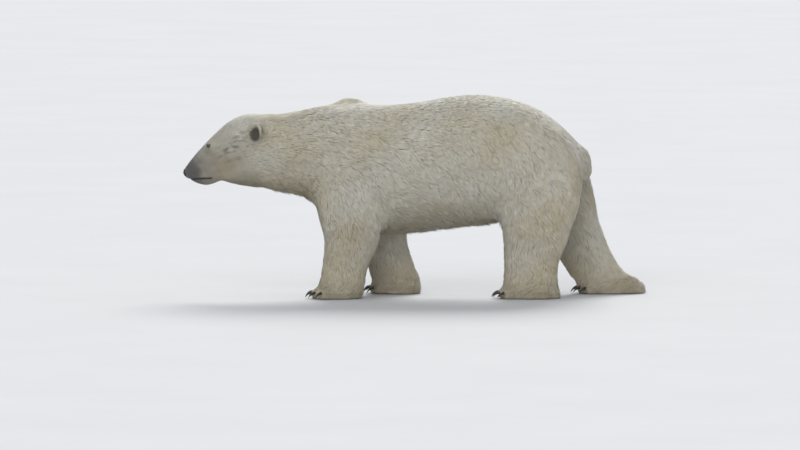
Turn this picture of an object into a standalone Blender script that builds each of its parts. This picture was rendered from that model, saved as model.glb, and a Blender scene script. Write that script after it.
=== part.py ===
"""A life-size polar bear, walking, as solids that a museum model is made of.

Metres, +Z up. The bear faces -X, its left side faces -Y, and its soles stand on Z = 0. The
outer surface is that of the coat. The flesh is modelled whole from lofts and rounded masses,
melted together, and then parted with thin cuts into head, neck, trunk, tail and legs.
"""

import math

import bmesh
import bpy
import numpy as np
from mathutils import Matrix, Vector

# Driving dimensions.
GAP = 0.0004  # between neighbouring solids
VOXEL = 0.009  # grain at which the masses are melted together
MELT_STEPS = 8  # rounds of smoothing that take the grain off
BLEND_STEPS = 60  # further rounds that fillet the joins of the trunk and the legs
BUDGETS = {"body": 2100, "feet": 780, "face": 1450}  # triangles of the flesh
RING_POINTS = 28
STEPS_BETWEEN = 4  # rings between two stations of a loft
FLOOR_CUT = 0.25  # height of the block that flattens the soles
HEAD_BOTTOM = 0.60  # nothing of the head is lower
FACE_LENGTH = 0.50  # of the head that keeps small triangles, from the nose
FILLET_START = 0.29  # how far behind the nose the wide fillets begin
FILLET_FADE = 0.30  # over what length they grow to their full width
FOOT_TOP = 0.14
STANCE = 0.205  # each foot's distance from the middle plane

COAT = ("coat", (0.80, 0.76, 0.66), 0.85)
LEATHER = ("leather", (0.02, 0.02, 0.022), 0.45)
HORN = ("horn", (0.05, 0.045, 0.04), 0.35)
EYE = ("eye", (0.015, 0.010, 0.008), 0.08)

# Neck and trunk, as upright slices: x, top, bottom, half width, and the share of the height
# at which the slice is widest.
SPINE = (
    (-1.185, 0.800, 0.700, 0.050, 0.50),
    (-1.120, 0.935, 0.676, 0.090, 0.50),
    (-1.050, 1.045, 0.662, 0.124, 0.48),
    (-0.980, 1.085, 0.652, 0.146, 0.45),
    (-0.900, 1.099, 0.638, 0.158, 0.44),
    (-0.800, 1.106, 0.625, 0.173, 0.44),
    (-0.700, 1.120, 0.607, 0.196, 0.44),
    (-0.610, 1.142, 0.560, 0.224, 0.45),
    (-0.520, 1.152, 0.500, 0.252, 0.46),
    (-0.400, 1.154, 0.440, 0.278, 0.47),
    (-0.280, 1.152, 0.398, 0.294, 0.48),
    (-0.140, 1.154, 0.378, 0.305, 0.47),
    (0.000, 1.167, 0.386, 0.318, 0.46),
    (0.150, 1.194, 0.404, 0.327, 0.46),
    (0.300, 1.215, 0.424, 0.330, 0.47),
    (0.450, 1.209, 0.438, 0.320, 0.50),
    (0.600, 1.178, 0.475, 0.300, 0.53),
    (0.730, 1.127, 0.525, 0.268, 0.55),
    (0.840, 1.050, 0.580, 0.246, 0.56),
    (0.930, 0.968, 0.630, 0.208, 0.55),
    (0.980, 0.903, 0.668, 0.162, 0.53),
    (1.015, 0.845, 0.705, 0.105, 0.51),
    (1.028, 0.805, 0.740, 0.050, 0.50),
)

# The head, along its own axis from the tip of the nose back to the nape: distance along the
# axis, reach above and below it, half width, and the share at which it is widest.
NOSE_TIP = Vector((-1.402, 0.0, 0.741))
HEAD_PITCH = math.radians(30.0)
SKULL = (
    (0.000, 0.004, -0.024, 0.022, 0.50),
    (0.010, 0.013, -0.046, 0.034, 0.50),
    (0.030, 0.022, -0.078, 0.045, 0.48),
    (0.052, 0.032, -0.110, 0.054, 0.46),
    (0.090, 0.048, -0.140, 0.062, 0.46),
    (0.140, 0.066, -0.152, 0.069, 0.48),
    (0.190, 0.083, -0.158, 0.078, 0.52),
    (0.240, 0.098, -0.163, 0.094, 0.56),
    (0.290, 0.109, -0.169, 0.112, 0.58),
    (0.350, 0.125, -0.180, 0.133, 0.57),
    (0.410, 0.132, -0.190, 0.146, 0.56),
    (0.470, 0.127, -0.196, 0.148, 0.55),
    (0.530, 0.107, -0.190, 0.142, 0.54),
    (0.590, 0.062, -0.160, 0.115, 0.52),
)

# Each leg, from the shoulder or hip down, for the left side: x, distance from the middle
# plane, z, half of its length fore and aft, half of its width.
LEGS = {
    "foreleg_left": (
        (-0.445, 0.165, 0.780, 0.175, 0.085),
        (-0.425, 0.192, 0.640, 0.196, 0.108),
        (-0.403, 0.203, 0.500, 0.196, 0.116),
        (-0.386, 0.205, 0.385, 0.180, 0.110),
        (-0.406, 0.205, 0.290, 0.159, 0.099),
        (-0.428, 0.205, 0.210, 0.146, 0.092),
        (-0.441, 0.205, 0.140, 0.140, 0.092),
        (-0.448, 0.205, 0.060, 0.138, 0.098),
        (-0.450, 0.205, -0.010, 0.130, 0.100),
    ),
    "foreleg_right": (
        (-0.410, 0.165, 0.780, 0.175, 0.085),
        (-0.345, 0.192, 0.640, 0.192, 0.108),
        (-0.275, 0.203, 0.500, 0.184, 0.116),
        (-0.222, 0.205, 0.385, 0.170, 0.110),
        (-0.197, 0.205, 0.290, 0.151, 0.099),
        (-0.170, 0.205, 0.210, 0.144, 0.092),
        (-0.142, 0.205, 0.140, 0.141, 0.092),
        (-0.118, 0.205, 0.060, 0.142, 0.098),
        (-0.115, 0.205, -0.010, 0.135, 0.100),
    ),
    "hindleg_left": (
        (0.700, 0.140, 0.880, 0.215, 0.100),
        (0.735, 0.180, 0.740, 0.262, 0.132),
        (0.733, 0.197, 0.600, 0.256, 0.136),
        (0.716, 0.203, 0.480, 0.236, 0.127),
        (0.706, 0.205, 0.370, 0.207, 0.113),
        (0.687, 0.205, 0.270, 0.184, 0.100),
        (0.681, 0.205, 0.180, 0.171, 0.092),
        (0.680, 0.205, 0.080, 0.165, 0.098),
        (0.680, 0.205, -0.010, 0.155, 0.100),
    ),
    "hindleg_right": (
        (0.720, 0.140, 0.880, 0.205, 0.100),
        (0.790, 0.180, 0.745, 0.238, 0.132),
        (0.848, 0.197, 0.625, 0.222, 0.136),
        (0.893, 0.203, 0.515, 0.202, 0.130),
        (0.930, 0.205, 0.415, 0.182, 0.118),
        (0.976, 0.205, 0.315, 0.166, 0.107),
        (1.026, 0.205, 0.220, 0.155, 0.095),
        (1.090, 0.205, 0.130, 0.140, 0.095),
        (1.165, 0.205, 0.045, 0.124, 0.100),
    ),
}

# Each foot: its middle's x, half length, half width, height at the instep, and the turn of
# its toes towards the middle plane.
FEET = {
    "foreleg_left": (-0.480, 0.150, 0.122, 0.118, math.radians(9.0)),
    "foreleg_right": (-0.128, 0.158, 0.122, 0.118, math.radians(9.0)),
    "hindleg_left": (0.675, 0.190, 0.112, 0.105, math.radians(-4.0)),
    "hindleg_right": (1.178, 0.212, 0.112, 0.090, math.radians(-4.0)),
}
TOE_COUNT = 5
TOE_RADII = Vector((0.054, 0.029, 0.042))
TOE_HEIGHT = 0.030
TOE_FAN = math.radians(38.0)  # from the middle toe to the outer one
CLAW_LENGTH = 0.050
CLAW_RADIUS = 0.0075
CLAW_SINK = 0.014  # length of claw inside the toe
CLAW_DROOP = math.radians(58.0)  # turn of the claw from root to tip

# Masses that the lofts don't give: place, radii, and pitch about the Y axis.
SIDE_MASSES = (
    ((-0.400, -0.125, 0.930), (0.190, 0.105, 0.200), math.radians(-12.0)),  # left blade
    ((-0.392, 0.102, 1.014), (0.180, 0.085, 0.196), math.radians(-12.0)),  # right blade, raised
    ((0.690, -0.140, 0.770), (0.275, 0.168, 0.300), 0.0),  # left haunch
    ((0.710, 0.140, 0.770), (0.275, 0.168, 0.300), 0.0),  # right haunch
    ((-0.440, -0.165, 0.700), (0.195, 0.130, 0.260), math.radians(10.0)),  # left upper arm
    ((-0.400, 0.165, 0.700), (0.195, 0.130, 0.260), math.radians(-10.0)),  # right upper arm
)
# The same on both sides of the head, in the head's own axes: along, out, up.
CHEEK_MASSES = (
    ((0.385, 0.062, -0.040), (0.150, 0.076, 0.105)),  # jaw muscle
    ((0.250, 0.050, 0.058), (0.062, 0.030, 0.032)),  # brow
    ((0.080, 0.030, -0.066), (0.055, 0.030, 0.040)),  # upper lip
)
TAIL = (
    (0.985, 0.0, 0.895, 0.030, 0.034),
    (1.014, 0.0, 0.850, 0.038, 0.046),
    (1.028, 0.0, 0.790, 0.038, 0.050),
    (1.036, 0.0, 0.735, 0.034, 0.046),
    (1.040, 0.0, 0.690, 0.020, 0.030),
)

# The cuts. Profiles are (x, z) across the spine, and drawn out to a half width.
SPINE_CUTS = (
    ("nose", ((-2.0, 0.70), (-1.362, 0.70), (-1.356, 0.745), (-1.378, 0.772), (-2.0, 0.90)), 0.5),
    ("head", ((-2.0, 0.4), (-0.985, 0.4), (-0.745, 1.6), (-2.0, 1.6)), 0.5),
    ("neck", ((-2.0, 0.4), (-0.690, 0.4), (-0.560, 1.6), (-2.0, 1.6)), 0.5),
    ("tail", ((1.002, 0.62), (1.30, 0.62), (1.30, 0.90), (0.975, 0.90)), 0.054),
)
# For each leg: the heights of its ankle and knee, the two corners (out, up) of the slant that
# parts it from the trunk, and the reach in x of the upper cut and of the lower ones.
LEG_CUTS = {
    "foreleg_left": (0.125, 0.345, (0.030, 0.42), (0.40, 0.90), (-0.78, -0.175), (-0.90, -0.10)),
    "foreleg_right": (0.125, 0.345, (0.030, 0.42), (0.40, 0.90), (-0.78, -0.030), (-0.50, 0.25)),
    "hindleg_left": (0.130, 0.370, (0.030, 0.49), (0.40, 1.02), (0.430, 1.30), (0.30, 1.02)),
    "hindleg_right": (0.130, 0.370, (0.030, 0.49), (0.40, 1.02), (0.430, 1.45), (0.62, 1.60)),
}
LEG_INNER = 0.012  # nearest the middle plane that a foot's cut reaches
LEG_OUTER = 0.80
UNDER_FLOOR = -0.10

EYE_PLACE = (0.219, 0.063)  # along and up in the head's axes
EYE_RADIUS = 0.0125
EYE_SINK = 0.0075  # of its middle, below the face
EAR_PLACE = (0.511, 0.136, -0.010)
EAR_RADII = (0.028, 0.052, 0.062)  # thick, wide, tall
EAR_TALL = (0.16, 0.50, 0.84)  # back, out, up
EAR_FACES = (-0.70, 0.70, 0.10)
EAR_CUP_SHIFT = 0.018
EAR_CUP_RADII = (0.022, 0.036, 0.046)


def clear_scene():
    """Removes whatever the file opened with."""
    for obj in list(bpy.data.objects):
        bpy.data.objects.remove(obj, do_unlink=True)


def collection(name):
    """A new collection in the scene."""
    made = bpy.data.collections.new(name)
    bpy.context.scene.collection.children.link(made)
    return made


def material(kind):
    """The Principled material of that name, made once."""
    name, colour, roughness = kind
    made = bpy.data.materials.get(name)
    if made is None:
        made = bpy.data.materials.new(name)
        made.use_nodes = True
        shader = made.node_tree.nodes["Principled BSDF"]
        shader.inputs["Base Color"].default_value = (*colour, 1.0)
        shader.inputs["Roughness"].default_value = roughness
        shader.inputs["Metallic"].default_value = 0.0
    return made


def object_of(name, mesh, home, kind=None):
    """An object that holds the mesh, in the collection home."""
    obj = bpy.data.objects.new(name, mesh)
    home.objects.link(obj)
    if kind is not None:
        mesh.materials.clear()
        mesh.materials.append(material(kind))
    return obj


def mesh_of(bm, name):
    """A mesh with the bmesh's geometry. The bmesh is freed."""
    bmesh.ops.recalc_face_normals(bm, faces=bm.faces)
    mesh = bpy.data.meshes.new(name)
    bm.to_mesh(mesh)
    bm.free()
    return mesh


def evaluated(obj, name):
    """The object's mesh with its modifiers applied, as a new mesh."""
    bpy.context.view_layer.update()
    graph = bpy.context.evaluated_depsgraph_get()
    mesh = bpy.data.meshes.new_from_object(obj.evaluated_get(graph))
    mesh.name = name
    return mesh


def smooth_rows(rows, steps):
    """Rows on a smooth curve through the given rows (Catmull-Rom), with steps per stretch."""
    table = np.array(rows, float)
    padded = np.vstack([2 * table[0] - table[1], table, 2 * table[-1] - table[-2]])
    found = []
    for i in range(len(table) - 1):
        before, start, end, after = padded[i : i + 4]
        for t in np.arange(steps) / steps:
            found.append(
                0.5
                * (
                    2 * start
                    + (end - before) * t
                    + (2 * before - 5 * start + 4 * end - after) * t**2
                    + (3 * start - before - 3 * end + after) * t**3
                )
            )
    found.append(table[-1])
    return found


def slice_ring(reach_up, reach_down, half_width, widest, roundness=2.35):
    """Points (out, up) of one slice: a superellipse whose upper and lower halves differ."""
    middle = reach_down + (reach_up - reach_down) * widest
    power = 2.0 / roundness
    points = []
    for i in range(RING_POINTS):
        turn = 2 * math.pi * i / RING_POINTS
        c, s = math.cos(turn), math.sin(turn)
        half = reach_up - middle if s > 0 else middle - reach_down
        out = math.copysign(abs(c) ** power, c) * half_width
        points.append((out, middle + math.copysign(abs(s) ** power, s) * half))
    return points


def add_loft(bm, rings):
    """Joins rings of equal length into one closed tube with flat ends."""
    loops = [[bm.verts.new(p) for p in ring] for ring in rings]
    for near, far in zip(loops, loops[1:]):
        for i, start in enumerate(near):
            j = (i + 1) % len(near)
            bm.faces.new((start, near[j], far[j], far[i]))
    bm.faces.new(loops[0][::-1])
    bm.faces.new(loops[-1])


def add_spine(bm):
    """Neck and trunk."""
    rings = []
    for x, top, bottom, half_width, widest in smooth_rows(SPINE, STEPS_BETWEEN):
        ring = slice_ring(top, bottom, half_width, widest, 2.2)
        rings.append([Vector((x, out, up)) for out, up in ring])
    add_loft(bm, rings)


def head_frame():
    """Places head points (along, out, up) in the bear's frame."""
    axis = Vector((math.cos(HEAD_PITCH), 0.0, math.sin(HEAD_PITCH)))
    up = Vector((-math.sin(HEAD_PITCH), 0.0, math.cos(HEAD_PITCH)))
    turn = Matrix((axis, (0.0, 1.0, 0.0), up)).transposed().to_4x4()
    return Matrix.Translation(NOSE_TIP) @ turn


def add_head(bm):
    """Skull, muzzle and jaw, with the masses on both sides."""
    frame = head_frame()
    rings = []
    for along, top, bottom, half_width, widest in smooth_rows(SKULL, STEPS_BETWEEN):
        ring = slice_ring(top, bottom, half_width, widest)
        rings.append([frame @ Vector((along, out, up)) for out, up in ring])
    add_loft(bm, rings)
    for (along, out, up), radii in CHEEK_MASSES:
        for side in (-1, 1):
            place = frame @ Matrix.Translation((along, side * out, up))
            add_mass(bm, place, radii)


def add_mass(bm, place, radii):
    """An ellipsoid, in the axes of the matrix place."""
    scale = Matrix.Diagonal((*radii, 1.0))
    bmesh.ops.create_uvsphere(
        bm, u_segments=24, v_segments=16, radius=1.0, matrix=place @ scale
    )


def add_limb(bm, rows, side):
    """A leg or the tail: ovals square to its course in the fore and aft plane."""
    course = smooth_rows(rows, STEPS_BETWEEN)
    rings = []
    for i, (x, out, z, length, width) in enumerate(course):
        last, after = course[max(i - 1, 0)], course[min(i + 1, len(course) - 1)]
        down = Vector((after[0] - last[0], 0.0, after[2] - last[2])).normalized()
        fore = Vector((down.z, 0.0, -down.x))
        ring = []
        for k in range(RING_POINTS):
            turn = 2 * math.pi * k / RING_POINTS
            place = Vector((x, side * out, z)) + fore * (length * math.cos(turn))
            ring.append(place + Vector((0.0, width * math.sin(turn), 0.0)))
        rings.append(ring)
    add_loft(bm, rings)


def side_of(name):
    """-1 for the left, which faces -Y, and 1 for the right."""
    return -1 if name.endswith("left") else 1


def foot_frame(name):
    """The foot's frame: +X from the heel to the toes, on the floor under its middle."""
    middle, _, _, _, toe_in = FEET[name]
    side = side_of(name)
    turn = Matrix.Rotation(math.pi - side * toe_in, 4, "Z")
    return Matrix.Translation((middle, side * STANCE, 0.0)) @ turn


def toe_places(name):
    """Each toe's middle and heading in the foot's frame, fanned over the front of the foot."""
    _, half_length, half_width, _, _ = FEET[name]
    places = []
    for i in range(TOE_COUNT):
        share = 2 * i / (TOE_COUNT - 1) - 1
        out = share * (half_width - TOE_RADII.y * 0.9)
        along = half_length - TOE_RADII.x * 0.75 - 0.038 * share**2
        places.append((Vector((along, out, TOE_HEIGHT)), share * TOE_FAN * 0.45))
    return places


def add_foot(bm, name):
    """A broad sole, an instep and five toes, sunk a little below the floor."""
    _, half_length, half_width, instep, _ = FEET[name]
    frame = foot_frame(name)
    sole = frame @ Matrix.Translation((-0.008, 0.0, 0.012))
    add_mass(bm, sole, (half_length, half_width, 0.060))
    step = frame @ Matrix.Translation((-0.035, 0.0, 0.03))
    add_mass(bm, step, (half_length * 0.82, half_width * 0.90, instep))
    for place, heading in toe_places(name):
        toe = frame @ Matrix.Translation(place) @ Matrix.Rotation(heading, 4, "Z")
        add_mass(bm, toe, TOE_RADII)


def along_head(place):
    """How far behind the tip of the nose a point is, along the head; 1 below the head."""
    return (head_frame().inverted() @ place).x if place.z > HEAD_BOTTOM else 1.0


def breadth_of(place):
    """How far the joins are filleted there: 1 on the trunk, 0 on the face and the feet."""
    back = min(max((along_head(place) - FILLET_START) / FILLET_FADE, 0.0), 1.0)
    height = min(max((place.z - FOOT_TOP) / FILLET_FADE, 0.0), 1.0)
    return back * (0.25 + 0.75 * height) if height > 0.0 else 0.0


def melt(bm, home):
    """One skin round all the masses, with the joins filleted."""
    masses = object_of("masses", mesh_of(bm, "masses"), home)
    grain = masses.modifiers.new("Grain", "REMESH")
    grain.mode = "VOXEL"
    grain.voxel_size = VOXEL
    flesh = object_of("melted", evaluated(masses, "melted"), home)
    bpy.data.objects.remove(masses)
    broad = flesh.vertex_groups.new(name="broad")
    for vertex in flesh.data.vertices:
        broad.add([vertex.index], breadth_of(vertex.co), "REPLACE")
    for label, steps, group in (("Relax", MELT_STEPS, ""), ("Blend", BLEND_STEPS, "broad")):
        relax = flesh.modifiers.new(label, "SMOOTH")
        relax.factor = 0.5
        relax.iterations = steps
        relax.vertex_group = group
    mesh = evaluated(flesh, "flesh")
    bpy.data.objects.remove(flesh)
    return object_of("flesh", mesh, home)


def region_of(place):
    """Which of the budgets a point of the flesh belongs to."""
    if along_head(place) < FACE_LENGTH:
        return "face"
    return "feet" if place.z < FOOT_TOP else "body"


def thin_out(flesh, home):
    """Fewer, larger triangles: each region is thinned down to its own budget in turn."""
    groups = {name: flesh.vertex_groups.new(name=name) for name in BUDGETS}
    sides = [region_of(vertex.co) for vertex in flesh.data.vertices]
    for index, region in enumerate(sides):
        groups[region].add([index], 1.0, "REPLACE")
    left = dict.fromkeys(BUDGETS, 0)
    for face in flesh.data.polygons:
        left[sides[face.vertices[0]]] += len(face.vertices) - 2
    for region, budget in BUDGETS.items():
        before = sum(left.values())
        left[region] = budget
        thin = flesh.modifiers.new(f"Thin {region}", "DECIMATE")
        thin.vertex_group = region
        thin.ratio = sum(left.values()) / before
    mesh = evaluated(flesh, "flesh_thin")
    bpy.data.objects.remove(flesh)
    return object_of("flesh", mesh, home)


def prism(name, home, outline, low, high, axis="X"):
    """A convex cutter: an outline in the other two axes, drawn out along one axis."""
    bm = bmesh.new()
    order = {"X": (2, 0, 1), "Y": (0, 2, 1)}[axis]
    ends = []
    for depth in (low, high):
        corners = [(a, b, depth) for a, b in outline]
        ends.append([bm.verts.new([c[i] for i in order]) for c in corners])
    bm.faces.new(ends[0])
    bm.faces.new(ends[1][::-1])
    for i in range(len(outline)):
        j = (i + 1) % len(outline)
        bm.faces.new((ends[0][i], ends[0][j], ends[1][j], ends[1][i]))
    return as_cutter(name, mesh_of(bm, name), home)


def as_cutter(name, mesh, home):
    """A guide that isn't part of the bear."""
    cutter = object_of(name, mesh, home)
    cutter.hide_render = True
    cutter.display_type = "WIRE"
    return cutter


def grown_prism(cutter, home, by):
    """A copy of a flat-sided cutter whose every face lies further out by that much."""
    bm = bmesh.new()
    bm.from_mesh(cutter.data)
    bm.normal_update()
    moves = []
    for vertex in bm.verts:
        sides = np.array([face.normal for face in vertex.link_faces])
        moves.append(np.linalg.lstsq(sides, np.full(len(sides), by), rcond=None)[0])
    for vertex, move in zip(bm.verts, moves):
        vertex.co += Vector(move)
    name = cutter.name + "_grown"
    return as_cutter(name, mesh_of(bm, name), home)


def grown_round(obj, home, by):
    """A copy of a rounded piece, a little larger all over, to cut others back from it."""
    bm = bmesh.new()
    bm.from_mesh(obj.data)
    bm.normal_update()
    for vertex in bm.verts:
        vertex.co += vertex.normal * by
    name = obj.name + "_grown"
    return as_cutter(name, mesh_of(bm, name), home)


def combined(obj, other, operation, name):
    """The mesh of a Boolean between two objects, with the first one's material."""
    step = obj.modifiers.new("Combine", "BOOLEAN")
    step.operation = operation
    step.object = other
    step.solver = "EXACT"
    mesh = evaluated(obj, name)
    obj.modifiers.remove(step)
    mesh.materials.clear()
    for kept in obj.data.materials:
        mesh.materials.append(kept)
    return mesh


def part_off(flesh, name, cutter, home, cutters, kind=COAT):
    """Takes what lies in the cutter off the flesh, as a node of its own, with a thin gap."""
    piece = object_of(name, combined(flesh, cutter, "INTERSECT", name), home, kind)
    wide = grown_prism(cutter, cutters, GAP)
    flesh.data = combined(flesh, wide, "DIFFERENCE", "flesh")
    return piece


def flatten_soles(flesh, cutters):
    """Cuts the feet off level with the floor."""
    outline = ((-2.0, -FLOOR_CUT), (2.0, -FLOOR_CUT), (2.0, 0.0), (-2.0, 0.0))
    floor = prism("floor_cut", cutters, outline, -1.0, 1.0, "Y")
    flesh.data = combined(flesh, floor, "DIFFERENCE", "flesh")


def cut_spine(flesh, home, cutters):
    """Nose pad, head, neck and tail, by planes across the spine."""
    for name, outline, half in SPINE_CUTS:
        cutter = prism("cut_" + name, cutters, outline, -half, half, "Y")
        kind = LEATHER if name == "nose" else COAT
        part_off(flesh, name, cutter, home, cutters, kind)


def cut_leg(flesh, name, home, cutters):
    """Foot, lower leg and upper leg, each a node."""
    side = side_of(name)
    ankle, knee, low_corner, high_corner, upper_reach, lower_reach = LEG_CUTS[name]
    inner, outer, under = LEG_INNER, LEG_OUTER, UNDER_FLOOR
    low = ((inner, under), (outer, under), (outer, ankle), (inner, ankle))
    middle = ((inner, under), (outer, under), (outer, knee), (inner, knee))
    high = ((low_corner[0], under), (outer, under), (outer, high_corner[1]))
    high += (high_corner, low_corner)
    for stage, outline, reach in (
        ("foot", low, lower_reach),
        ("lower", middle, lower_reach),
        ("upper", high, upper_reach),
    ):
        sided = [(side * out, up) for out, up in outline]
        cutter = prism(f"cut_{name}_{stage}", cutters, sided, *reach, "X")
        part_off(flesh, f"{name}_{stage}", cutter, home, cutters)


def add_eyes(head, home, cutters):
    """Two eyeballs, each in a socket of the head."""
    along, up = EYE_PLACE
    frame = head_frame()
    for side, label in ((-1, "left"), (1, "right")):
        outside = frame @ Vector((along, side * 0.3, up))
        _, spot, _, _ = head.ray_cast(outside, Vector((0.0, -side, 0.0)))
        spot.y -= side * EYE_SINK
        bm = bmesh.new()
        bmesh.ops.create_uvsphere(
            bm,
            u_segments=10,
            v_segments=7,
            radius=EYE_RADIUS,
            matrix=Matrix.Translation(spot),
        )
        eye = object_of(f"eye_{label}", mesh_of(bm, f"eye_{label}"), home, EYE)
        socket = grown_round(eye, cutters, GAP)
        head.data = combined(head, socket, "DIFFERENCE", "head")


def ear_frame(side):
    """The ear's frame on one side: +X away from what the cup faces, +Z to its tip."""
    along, out, up = EAR_PLACE
    spot = head_frame() @ Vector((along, side * out, up))
    tall = Vector((EAR_TALL[0], side * EAR_TALL[1], EAR_TALL[2])).normalized()
    behind = -Vector((EAR_FACES[0], side * EAR_FACES[1], EAR_FACES[2]))
    behind = (behind - tall * behind.dot(tall)).normalized()
    turn = Matrix((behind, tall.cross(behind), tall)).transposed().to_4x4()
    return Matrix.Translation(spot) @ turn


def add_ears(head, home, cutters):
    """Two cupped, round ears that stand on the sides of the head, behind the cheeks."""
    skull = grown_round(head, cutters, GAP)
    for side, label in ((-1, "left"), (1, "right")):
        shapes = []
        for shift, radii, points in (
            (0.0, EAR_RADII, (14, 9)),
            (-EAR_CUP_SHIFT, EAR_CUP_RADII, (12, 7)),
        ):
            bm = bmesh.new()
            bmesh.ops.create_uvsphere(
                bm,
                u_segments=points[0],
                v_segments=points[1],
                radius=1.0,
                matrix=ear_frame(side)
                @ Matrix.Translation((shift, 0.0, 0.004))
                @ Matrix.Diagonal((*radii, 1.0)),
            )
            shapes.append(mesh_of(bm, f"ear_{label}"))
        ear = object_of(f"ear_{label}", shapes[0], home, COAT)
        cup = as_cutter(f"ear_cup_{label}", shapes[1], cutters)
        for tool in (cup, skull):
            ear.data = combined(ear, tool, "DIFFERENCE", ear.name)


def claw_mesh(name, place):
    """A curved horn, oval across and pointed, that heads along +X and droops."""
    rings_along, points_round = 4, 5
    rings = []
    spot, heading = Vector((0.0, 0.0, 0.0)), 0.10
    for i in range(rings_along):
        share = i / (rings_along - 1)
        radius = CLAW_RADIUS * (1.0 - 0.86 * share**1.3)
        across = Vector((math.sin(heading), 0.0, math.cos(heading)))
        ring = []
        for k in range(points_round):
            turn = 2 * math.pi * k / points_round
            offset = across * (radius * 1.15 * math.sin(turn))
            offset += Vector((0.0, radius * 0.82 * math.cos(turn), 0.0))
            ring.append(place @ (spot + offset))
        rings.append(ring)
        step = CLAW_LENGTH / (rings_along - 1)
        spot = spot + Vector((math.cos(heading), 0.0, -math.sin(heading))) * step
        heading += CLAW_DROOP / (rings_along - 1)
    bm = bmesh.new()
    add_loft(bm, rings)
    return mesh_of(bm, name)


def add_claws(name, foot, home, cutters):
    """Five claws, each standing on the front of its toe."""
    frame = foot_frame(name)
    larger = grown_round(foot, cutters, GAP)
    for i, (place, heading) in enumerate(toe_places(name)):
        root = Vector((TOE_RADII.x - CLAW_SINK, 0.0, 0.010))
        spot = frame @ Matrix.Translation(place) @ Matrix.Rotation(heading, 4, "Z")
        label = f"claw_{name}_{i + 1}"
        mesh = claw_mesh(label, spot @ Matrix.Translation(root))
        claw = object_of(label, mesh, home, HORN)
        claw.data = combined(claw, larger, "DIFFERENCE", label)


def flesh_whole(cutters):
    """The whole bear as one closed skin."""
    bm = bmesh.new()
    add_spine(bm)
    add_head(bm)
    for place, radii, pitch in SIDE_MASSES:
        turn = Matrix.Translation(place) @ Matrix.Rotation(pitch, 4, "Y")
        add_mass(bm, turn, radii)
    for name, rows in LEGS.items():
        add_limb(bm, rows, side_of(name))
        add_foot(bm, name)
    add_limb(bm, TAIL, 1)
    return thin_out(melt(bm, cutters), cutters)


def main():
    """Builds the bear in a collection of its own."""
    clear_scene()
    home, cutters = collection("polar_bear"), collection("cutters")
    flesh = flesh_whole(cutters)
    flatten_soles(flesh, cutters)
    cut_spine(flesh, home, cutters)
    for name in LEGS:
        cut_leg(flesh, name, home, cutters)
    object_of("trunk", flesh.data, home, COAT)
    bpy.data.objects.remove(flesh)
    head = bpy.data.objects["head"]
    add_eyes(head, home, cutters)
    add_ears(head, home, cutters)
    for name in LEGS:
        add_claws(name, bpy.data.objects[f"{name}_foot"], home, cutters)


main()
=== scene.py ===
"""Finished looks of the polar bear: one skin, a coat of tufts, eyes, nose, claws and a studio.

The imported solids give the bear's outline out to the tips of its coat. The skin lies inside
them by the coat's depth, and the tufts rise from it, following the lie of the fur.
"""

import logging
import math
from collections.abc import Callable, Iterable
from dataclasses import dataclass, field
from enum import Enum

import bmesh
import bpy
import numpy as np
from mathutils import Matrix, Vector
from mathutils.bvhtree import BVHTree
from mathutils.kdtree import KDTree


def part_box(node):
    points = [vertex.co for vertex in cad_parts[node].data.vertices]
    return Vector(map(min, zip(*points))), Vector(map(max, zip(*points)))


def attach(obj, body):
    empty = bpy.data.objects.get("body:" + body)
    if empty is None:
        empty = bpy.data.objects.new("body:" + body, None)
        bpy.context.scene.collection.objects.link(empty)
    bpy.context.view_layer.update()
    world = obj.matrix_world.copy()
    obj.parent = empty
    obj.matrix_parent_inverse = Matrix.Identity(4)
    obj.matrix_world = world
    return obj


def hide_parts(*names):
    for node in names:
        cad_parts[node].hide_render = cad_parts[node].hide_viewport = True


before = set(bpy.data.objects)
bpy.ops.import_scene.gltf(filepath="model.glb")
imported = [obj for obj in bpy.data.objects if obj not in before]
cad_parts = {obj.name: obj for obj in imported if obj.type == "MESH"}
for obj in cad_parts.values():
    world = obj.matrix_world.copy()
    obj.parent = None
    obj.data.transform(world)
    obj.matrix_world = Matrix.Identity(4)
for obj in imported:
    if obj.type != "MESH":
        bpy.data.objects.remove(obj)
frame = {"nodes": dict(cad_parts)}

Array = np.ndarray
Node = bpy.types.Node
Mesh = bpy.types.Mesh
Object = bpy.types.Object
Material = bpy.types.Material

LOG = logging.getLogger("polar_bear")
BODY = "root"
SEED = 20
LEGS = ("foreleg_left", "foreleg_right", "hindleg_left", "hindleg_right")


class Region(Enum):
    """Parts of the bear whose coats differ."""

    MUZZLE = 0
    FACE = 1
    SKULL = 2
    EAR = 3
    NECK = 4
    TRUNK = 5
    TAIL = 6
    UPPER = 7
    LOWER = 8
    FOOT = 9


class Slot(Enum):
    """The record's material slots."""

    COAT = "coat"
    NOSE = "nose"
    CLAW = "claw"
    EYE = "eye"


@dataclass(frozen=True)
class RegionCoat:
    """The coat of one region.

    Args:
        depth: From the skin to the tips, in metres.
        length: Of a tuft, in metres.
        width: Of a tuft, in metres.
        spacing: Between roots, in metres.
        clump: The share by which tufts lean together into locks.
    """

    depth: float
    length: float
    width: float
    spacing: float
    clump: float


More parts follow.
